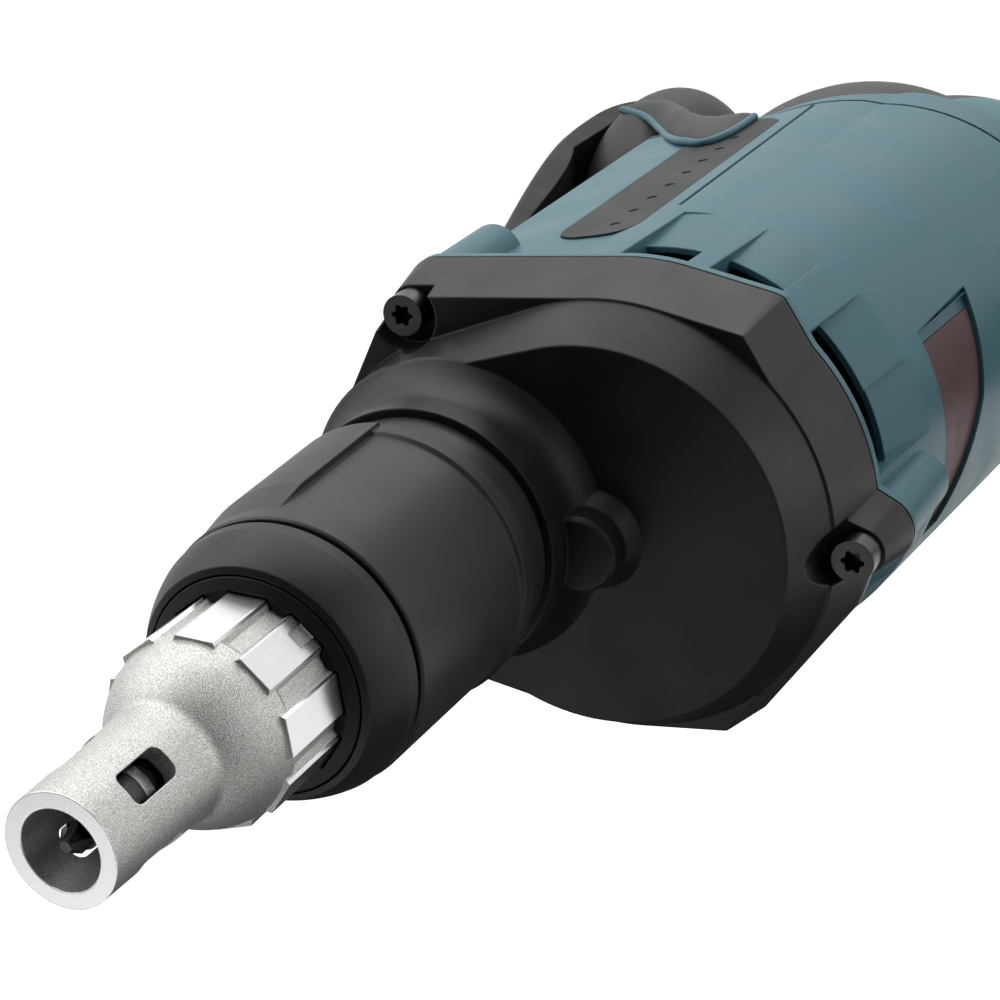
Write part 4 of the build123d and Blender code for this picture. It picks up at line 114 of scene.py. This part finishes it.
# Light and ground, with left and right as the camera sees them
FLOOR_HEIGHT = -0.35
FLOOR_SIZE = 8.0
FLOOR_COLOUR = (0.86, 0.86, 0.85)
FLOOR_GLOW = 0.85                    # glow that only the camera, reflections and clear things show
WORLD_FILL = 0.16                    # light from the world on surfaces; seen directly, the world is white
FLAG_CORNER = (-0.6, -0.9)           # X and Y where the front flag meets the right one
FLAG_LEFT = (-0.6, 0.9)              # other end of the front flag
FLAG_BACK = (-0.05, -0.9)            # other end of the right flag
FLAG_FOOT, FLAG_HEAD = -0.34, 0.45

# Camera at the photograph's viewing angle
CAMERA_PLACE = Vector((-0.31432, -0.15783, 0.16092))
CAMERA_RIGHT = Vector((0.41967546, -0.907674, 0.0))
CAMERA_UP = Vector((0.36440615, 0.168488, 0.915871))
CAMERA_LENS = 93.6
CAMERA_SENSOR = 36.0
CAMERA_NEAR = 0.01


def add_node(tree, kind, inputs=None, **settings):
    """Add a shader node; inputs maps a socket's name or number to a value or to another node's output."""
    made = tree.nodes.new("ShaderNode" + kind)
    for name, value in settings.items():
        setattr(made, name, value)
    for name, value in (inputs or {}).items():
        if isinstance(value, bpy.types.NodeSocket):
            tree.links.new(value, made.inputs[name])
        else:
            made.inputs[name].default_value = value
    return made


def number(tree, operation, *values):
    """Result of a maths node."""
    return add_node(tree, "Math", dict(enumerate(values)), operation=operation).outputs[0]


def ramp(tree, value, low, high, out_low=0.0, out_high=1.0):
    """Value mapped from one range to another and kept inside it."""
    places = {0: value, 1: low, 2: high, 3: out_low, 4: out_high}
    return add_node(tree, "MapRange", places).outputs[0]


def spread(tree, value, out_low=0.0, out_high=1.0):
    """Noise mapped from its usual range to another."""
    return ramp(tree, value, NOISE_LOW, NOISE_HIGH, out_low, out_high)


def mixed(tree, share, first, second):
    """Colour between two colours."""
    # The node's colours are its inputs 6 and 7 and its output 2
    made = add_node(tree, "Mix", {"Factor": share}, data_type="RGBA")
    for socket, colour in ((made.inputs[6], first), (made.inputs[7], second)):
        if isinstance(colour, bpy.types.NodeSocket):
            tree.links.new(colour, socket)
        else:
            socket.default_value = (*colour, 1.0)
    return made.outputs[2]


def noise(tree, size, detail=2.0, stretch=None):
    """Noise in the object's own space with features of about the given size."""
    place = add_node(tree, "TexCoord").outputs["Object"]
    if stretch:
        place = add_node(tree, "Mapping", {"Vector": place, "Scale": stretch}).outputs[0]
    inputs = {"Vector": place, "Scale": 1.0 / size, "Detail": detail}
    return add_node(tree, "TexNoise", inputs).outputs["Fac"]


def position(tree):
    """X, Y and Z in the object's own space."""
    place = add_node(tree, "TexCoord").outputs["Object"]
    return add_node(tree, "SeparateXYZ", {0: place}).outputs


def radius(tree):
    """Distance from the spindle axis."""
    place = position(tree)
    squares = [number(tree, "POWER", place[name], 2.0) for name in ("Y", "Z")]
    return number(tree, "SQRT", number(tree, "ADD", *squares))


def shaded(colour, share):
    """Colour made lighter or darker by a share."""
    return tuple(min(1.0, part * (1.0 + share)) for part in colour)


def new_material(name, metallic, specular):
    """Material with a Principled shader, and the parts that the finishes change."""
    material = bpy.data.materials.new(name)
    material.use_nodes = True
    shader = material.node_tree.nodes["Principled BSDF"]
    shader.inputs["Metallic"].default_value = metallic
    shader.inputs["Specular IOR Level"].default_value = specular
    return material, material.node_tree, shader


def worn_edges(tree, reach):
    """Softened normal near edges, and a mask that is 1 on them."""
    softened = add_node(tree, "Bevel", {"Radius": reach}, samples=4).outputs[0]
    sharp = add_node(tree, "NewGeometry").outputs["Normal"]
    match = add_node(tree, "VectorMath", {0: softened, 1: sharp}, operation="DOT_PRODUCT").outputs["Value"]
    return softened, ramp(tree, match, EDGE_FLAT, EDGE_SHARP)


def add_bump(tree, shader, height, depth, normal):
    """Relief of the given depth over a normal."""
    inputs = {"Strength": 1.0, "Distance": depth, "Height": height, "Normal": normal}
    tree.links.new(add_node(tree, "Bump", inputs).outputs[0], shader.inputs["Normal"])


def moulded(
    name, colour, rough, grain=0.25 * MM, depth=0.02 * MM, specular=0.5, edge=0.35 * MM, patch=12 * MM
):
    """Plastic, rubber or cast finish: mottled colour, fine grain, softened and slightly worn edges."""
    material, tree, shader = new_material(name, metallic=0.0, specular=specular)
    broad = noise(tree, patch, detail=3.0)
    fine = noise(tree, grain)
    softened, edges = worn_edges(tree, edge)
    body = mixed(tree, spread(tree, broad), shaded(colour, -MOTTLE), shaded(colour, MOTTLE))
    patches = noise(tree, WEAR_SIZE, detail=3.0)
    wear = ramp(tree, patches, WEAR_LOW, WEAR_HIGH, WEAR_LEAST, WEAR_MOST)
    rubbed = number(tree, "MULTIPLY", edges, wear)
    worn_colour = shaded(tuple(part + WEAR_PALE for part in colour), WEAR_LIGHT)
    tree.links.new(mixed(tree, rubbed, body, worn_colour), shader.inputs["Base Color"])
    roughness = spread(tree, broad, rough - ROUGH_SPREAD, rough + ROUGH_SPREAD)
    tree.links.new(roughness, shader.inputs["Roughness"])
    add_bump(tree, shader, fine, depth, softened)
    return material


def machined(name, colour, rough, streak=0.12 * MM, along=ALONG_X):
    """Turned or drawn metal with fine streaks along X unless told otherwise."""
    material, tree, shader = new_material(name, metallic=1.0, specular=0.5)
    streaks = noise(tree, streak, stretch=along)
    smudges = noise(tree, SMUDGE_SIZE, detail=3.0)
    softened, edges = worn_edges(tree, METAL_EDGE)
    body = mixed(tree, spread(tree, streaks), shaded(colour, STREAK_DARK), shaded(colour, STREAK_LIGHT))
    tree.links.new(mixed(tree, edges, body, shaded(colour, METAL_EDGE_LIGHT)), shader.inputs["Base Color"])
    roughness = spread(tree, smudges, rough + SMUDGE_SMOOTH, rough + SMUDGE_ROUGH)
    tree.links.new(roughness, shader.inputs["Roughness"])
    add_bump(tree, shader, streaks, STREAK_DEPTH, softened)
    return material


def blasted_nose():
    """Bead-blasted steel with a polished front ring and polished rib flats."""
    material, tree, shader = new_material("blasted_nose", metallic=1.0, specular=0.5)
    x = position(tree)["X"]
    front = number(tree, "LESS_THAN", x, FRONT_RING)
    on_rib = number(tree, "GREATER_THAN", radius(tree), RIB_LOW)
    flats = number(tree, "MULTIPLY", on_rib, number(tree, "GREATER_THAN", x, RIB_START))
    polished = number(tree, "MAXIMUM", front, flats)
    pits = noise(tree, PIT_SIZE, detail=0.0)
    cloud = noise(tree, CLOUD_SIZE, detail=3.0)
    streaks = noise(tree, POLISH_SIZE, stretch=POLISH_ALONG)
    softened, edges = worn_edges(tree, NOSE_EDGE)
    blasted = mixed(tree, ramp(tree, pits, PIT_LOW, PIT_HIGH), BLASTED_DARK, BLASTED_LIGHT)
    blasted = mixed(tree, spread(tree, cloud, 0.0, CLOUD_SHARE), blasted, CLOUD_COLOUR)
    bright = mixed(tree, spread(tree, streaks), POLISHED_DARK, POLISHED_LIGHT)
    both = mixed(tree, polished, blasted, bright)
    rubbed = mixed(tree, number(tree, "MULTIPLY", edges, NOSE_EDGE_SHARE), both, NOSE_EDGE_COLOUR)
    tree.links.new(rubbed, shader.inputs["Base Color"])
    roughness = ramp(tree, polished, 0.0, 1.0, BLASTED_ROUGH, POLISHED_ROUGH)
    tree.links.new(roughness, shader.inputs["Roughness"])
    height = number(tree, "MULTIPLY", pits, ramp(tree, polished, 0.0, 1.0, 1.0, POLISHED_RELIEF))
    add_bump(tree, shader, height, PIT_DEPTH, softened)
    return material


finishes = {
    "nose": blasted_nose(),
    "ring": moulded(
        "ring_black", (0.017, 0.017, 0.017), 0.44,
        grain=0.22 * MM, depth=0.03 * MM, specular=0.28,
    ),
    "sleeve": moulded(
        "sleeve_black", (0.022, 0.022, 0.022), 0.45,
        grain=0.3 * MM, depth=0.012 * MM, specular=0.34,
    ),
    # Carrier is darker than the ring and sleeve beside it: its colour holds painted shade for the shadow
    # that falls between the nose ribs and the ring
    "carrier": moulded("carrier_black_painted_shade", (0.010, 0.010, 0.010), 0.55, specular=0.25),
    "case": moulded(
        "case_black", (0.009, 0.009, 0.009), 0.42,
        grain=0.4 * MM, depth=0.015 * MM, specular=0.30, edge=0.6 * MM,
    ),
    "teal": moulded(
        "teal_plastic", (0.062, 0.170, 0.207), 0.42,
        grain=0.35 * MM, depth=0.008 * MM, specular=0.32, edge=0.5 * MM,
    ),
    "grip": moulded(
        "soft_grip", (0.032, 0.032, 0.033), 0.62,
        grain=0.5 * MM, depth=0.05 * MM, edge=0.5 * MM,
    ),
    "strip": moulded(
        "side_strip", (0.026, 0.029, 0.029), 0.60,
        grain=0.4 * MM, depth=0.03 * MM, specular=0.3,
    ),
    "hook": moulded(
        "hook_black", (0.008, 0.008, 0.008), 0.46,
        grain=0.35 * MM, depth=0.01 * MM, specular=0.12, edge=0.6 * MM,
    ),
    "control": moulded(
        "control_black", (0.026, 0.026, 0.026), 0.45,
        grain=0.3 * MM, depth=0.02 * MM, edge=0.4 * MM,
    ),
    "label": moulded(
        "label_film", (0.110, 0.058, 0.062), 0.46,
        grain=0.9 * MM, depth=0.003 * MM, specular=0.2, patch=4 * MM,
    ),
    "grey": moulded("grey_plastic", (0.11, 0.11, 0.115), 0.5),
    "fibre": moulded("gasket_fibre", (0.05, 0.045, 0.04), 0.8, grain=0.15 * MM, depth=0.04 * MM),
    "carbon": moulded("pressed_carbon", (0.025, 0.025, 0.025), 0.55, grain=0.1 * MM, depth=0.03 * MM),
    "steel": machined("machined_steel", (0.52, 0.52, 0.53), 0.28),
    "dark_steel": machined("black_oxide_steel", (0.075, 0.075, 0.075), 0.34),
    "spring": machined("spring_steel", (0.40, 0.40, 0.41), 0.3, along=EVERY_WAY),
    "iron": machined("laminated_iron", (0.26, 0.26, 0.27), 0.45, streak=0.5 * MM, along=STACKED),
    "bronze": machined("sintered_bronze", (0.62, 0.42, 0.20), 0.42, along=EVERY_WAY),
    "copper": machined("lacquered_copper", (0.62, 0.26, 0.11), 0.32, streak=0.6 * MM, along=WOUND),
}

node_finish = {
    "nose": ["depth_stop_nose"],
    "ring": ["depth_adjust_ring"],
    "sleeve": ["neck_sleeve"],
    "carrier": ["depth_stop_carrier"],
    "case": ["gear_case"],
    "teal": ["motor_housing", "left_handle_shell", "right_handle_shell"],
    "grip": ["left_soft_grip", "right_soft_grip", "cable_inlet_grommet"],
    "strip": ["left_side_strip", "right_side_strip"],
    "hook": ["belt_hook"],
    "control": ["trigger", "lock_button", "reversing_slider"],
    "label": ["rating_label"],
    "grey": ["cooling_fan", "brush_carrier", "switch_module", "suppression_capacitor"],
    "fibre": ["gear_case_gasket"],
    "carbon": ["carbon_brushes"],
    "steel": [
        "holder_retaining_ring", "spindle", "gear_wheel", "gear_thrust_washer", "armature_shaft",
        "front_ball_bearing", "rear_ball_bearing", "bit_magnet", "bearing_plate_screws",
    ],
    "dark_steel": ["gear_case_screws", "belt_hook_screws", "handle_screws", "bit_holder", "screwdriver_bit"],
    "spring": [
        "nose_snap_ring", "adjust_ring_clip", "socket_clip", "clutch_spring", "brush_springs",
        "trigger_spring", "lock_button_spring",
    ],
    "iron": ["armature_core", "stator_core", "bearing_plate"],
    "bronze": ["spindle_bush", "spindle_rear_bush", "pinion_bush", "brush_holders"],
    "copper": ["armature_windings", "commutator", "field_coils"],
}
for finish, names in node_finish.items():
    for name in names:
        nodes[name].data.materials.clear()
        nodes[name].data.materials.append(finishes[finish])


def add_object(name, data):
    """New object in the scene."""
    made = bpy.data.objects.new(name, data)
    bpy.context.scene.collection.objects.link(made)
    return made


def smooth_path(corners, side, count):
    """Points along a smooth curve through corner points in millimetres, on one side of the tool."""
    curve = bpy.data.curves.new("path", "CURVE")
    curve.dimensions = "3D"
    line = curve.splines.new("BEZIER")
    line.bezier_points.add(len(corners) - 1)
    line.resolution_u = PATH_STEPS
    for point, (x, y, z) in zip(line.bezier_points, corners):
        point.co = (x * MM, y * MM, side * z * MM)
        point.handle_left_type = "AUTO"
        point.handle_right_type = "AUTO"
    holder = add_object("path", curve)
    shape = bpy.data.meshes.new_from_object(holder)
    places = [vertex.co.copy() for vertex in shape.vertices]
    bpy.data.objects.remove(holder)
    bpy.data.curves.remove(curve)
    bpy.data.meshes.remove(shape)
    picked = []
    for step in range(count):
        spot = step * (len(places) - 1) / (count - 1)
        low = min(int(spot), len(places) - 2)
        picked.append(places[low].lerp(places[low + 1], spot - low))
    return picked


def hump_lobe(name, side, edge):
    """Black lobe on one cheek of the hump, crowned between its outer edge and the hump."""
    ridge = smooth_path(LOBE_HUMP, side, LOBE_COLUMNS)
    places = []
    for column in range(LOBE_COLUMNS):
        width = (ridge[column] - edge[column]).length
        for row in range(LOBE_ROWS):
            share = row / (LOBE_ROWS - 1)
            place = edge[column].lerp(ridge[column], share)
            place.z += side * LOBE_CROWN * width * sin(pi * share)
            places.append(place)
    faces = []
    for column in range(LOBE_COLUMNS - 1):
        for row in range(LOBE_ROWS - 1):
            first = column * LOBE_ROWS + row
            face = (first, first + 1, first + LOBE_ROWS + 1, first + LOBE_ROWS)
            faces.append(face if side < 0 else face[::-1])
    mesh = bpy.data.meshes.new(name)
    mesh.from_pydata(places, [], faces)
    mesh.polygons.foreach_set("use_smooth", [True] * len(faces))
    mesh.materials.append(finishes["grip"])
    lobe = add_object(name, mesh)
    thick = lobe.modifiers.new("thick", "SOLIDIFY")
    thick.thickness = LOBE_THICK
    thick.offset = -1.0    # inwards only
    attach(lobe, "tool_body")


def hump_bead(name, edge):
    """Bead of the shell's plastic along the outer edge of a lobe."""
    curve = bpy.data.curves.new(name, "CURVE")
    curve.dimensions = "3D"
    curve.bevel_depth = BEAD_RADIUS
    curve.bevel_resolution = BEAD_ROUNDNESS
    curve.use_fill_caps = True
    line = curve.splines.new("POLY")
    line.points.add(len(edge) - 1)
    for point, place in zip(line.points, edge):
        point.co = (*place, 1.0)
    curve.materials.append(finishes["teal"])
    bead = add_object(name, curve)
    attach(bead, "tool_body")


for word, side in (("left", 1), ("right", -1)):
    lobe_edge = smooth_path(LOBE_EDGE, side, LOBE_COLUMNS)
    hump_lobe(word + "_hump_lobe", side, lobe_edge)
    hump_bead(word + "_hump_bead", lobe_edge)


def seen_directly(tree):
    """1 for rays from the camera, in reflections and through clear things, and 0 for light on surfaces."""
    path = add_node(tree, "LightPath").outputs
    mirrored = number(tree, "MAXIMUM", path["Is Glossy Ray"], path["Is Transmission Ray"])
    return number(tree, "MAXIMUM", path["Is Camera Ray"], mirrored)


def level(low, high, height):
    """Corners of a level rectangle between two corners given as X and Y."""
    (front, right), (back, left) = low, high
    return [(front, right, height), (back, right, height), (back, left, height), (front, left, height)]


def upright(start, end, foot, head):
    """Corners of an upright rectangle over a line given by X and Y at each end."""
    return [(*start, foot), (*end, foot), (*end, head), (*start, head)]


def flat_sheet(name, corners):
    """Flat rectangle beside or below the tool, and the nodes of its still empty material."""
    mesh = bpy.data.meshes.new(name)
    mesh.from_pydata(corners, [], [(0, 1, 2, 3)])
    material = bpy.data.materials.new(name)
    material.use_nodes = True
    material.node_tree.nodes.clear()
    mesh.materials.append(material)
    return add_object(name, mesh), material.node_tree


def pale_floor():
    """Large pale floor below the tool that reads as white and keeps shadows."""
    half = FLOOR_SIZE / 2
    floor, tree = flat_sheet("floor", level((-half, -half), (half, half), FLOOR_HEIGHT))
    paint = add_node(tree, "BsdfDiffuse", {"Color": (*FLOOR_COLOUR, 1.0)})
    strength = number(tree, "MULTIPLY", seen_directly(tree), FLOOR_GLOW)
    glow = add_node(tree, "Emission", {"Strength": strength})
    both = add_node(tree, "AddShader", {0: paint.outputs[0], 1: glow.outputs[0]})
    add_node(tree, "OutputMaterial", {"Surface": both.outputs[0]})


def softbox(name, place, aim, size, power):
    """Rectangular area light that faces a point."""
    light = bpy.data.lights.new(name, "AREA")
    light.shape = "RECTANGLE"
    light.size, light.size_y = size
    light.energy = power
    lamp = add_object(name, light)
    lamp.location = place
    lamp.rotation_euler = (Vector(aim) - Vector(place)).to_track_quat("-Z", "Y").to_euler()


def studio_card(name, corners, glow):
    """Flat card beside the tool that only reflections and soft light see: nearly black, or glowing."""
    card, tree = flat_sheet(name, corners)
    light = add_node(tree, "Emission", {"Strength": glow})
    add_node(tree, "OutputMaterial", {"Surface": light.outputs[0]})
    card.visible_camera = False
    card.visible_shadow = False


pale_floor()
softbox("overhead", place=(0.36, 0.16, 0.75), aim=(0.06, 0.0, 0.0), size=(0.9, 0.9), power=4.9)
softbox("upper_left", place=(-0.10, 0.55, 0.45), aim=(0.0, 0.0, 0.0), size=(0.6, 0.5), power=2.2)
softbox("right_side", place=(0.15, -0.75, 0.25), aim=(0.08, -0.02, 0.0), size=(0.7, 0.5), power=1.4)
studio_card("front_flag", upright(FLAG_CORNER, FLAG_LEFT, FLAG_FOOT, FLAG_HEAD), glow=0.01)
studio_card("right_flag", upright(FLAG_CORNER, FLAG_BACK, FLAG_FOOT, FLAG_HEAD), glow=0.04)
studio_card("top_flag", level(low=(-0.6, -0.7), high=(-0.08, 0.14), height=0.6), glow=0.03)
studio_card("low_flag", level(low=(-0.15, -0.5), high=(0.5, 0.5), height=-0.3), glow=0.05)
reflector = upright(start=(-0.55, 0.12), end=(-0.55, 0.30), foot=-0.30, head=-0.14)
studio_card("nose_reflector", reflector, glow=1.0)

world = bpy.data.worlds.new("white_studio")
bpy.context.scene.world = world
world.use_nodes = True
sky = world.node_tree.nodes["Background"]
sky.inputs["Color"].default_value = (1.0, 1.0, 1.0, 1.0)
sky_strength = ramp(world.node_tree, seen_directly(world.node_tree), 0.0, 1.0, WORLD_FILL, 1.0)
world.node_tree.links.new(sky_strength, sky.inputs["Strength"])

camera = bpy.data.cameras.new("photo_camera")
camera.lens = CAMERA_LENS
camera.sensor_width = CAMERA_SENSOR
camera.clip_start = CAMERA_NEAR
viewer = add_object("photo_camera", camera)
camera_back = CAMERA_RIGHT.cross(CAMERA_UP)
camera_turn = Matrix((CAMERA_RIGHT, CAMERA_UP, camera_back)).transposed().to_4x4()
viewer.matrix_world = Matrix.Translation(CAMERA_PLACE) @ camera_turn
bpy.context.scene.camera = viewer
bpy.context.scene.view_settings.view_transform = "Standard"
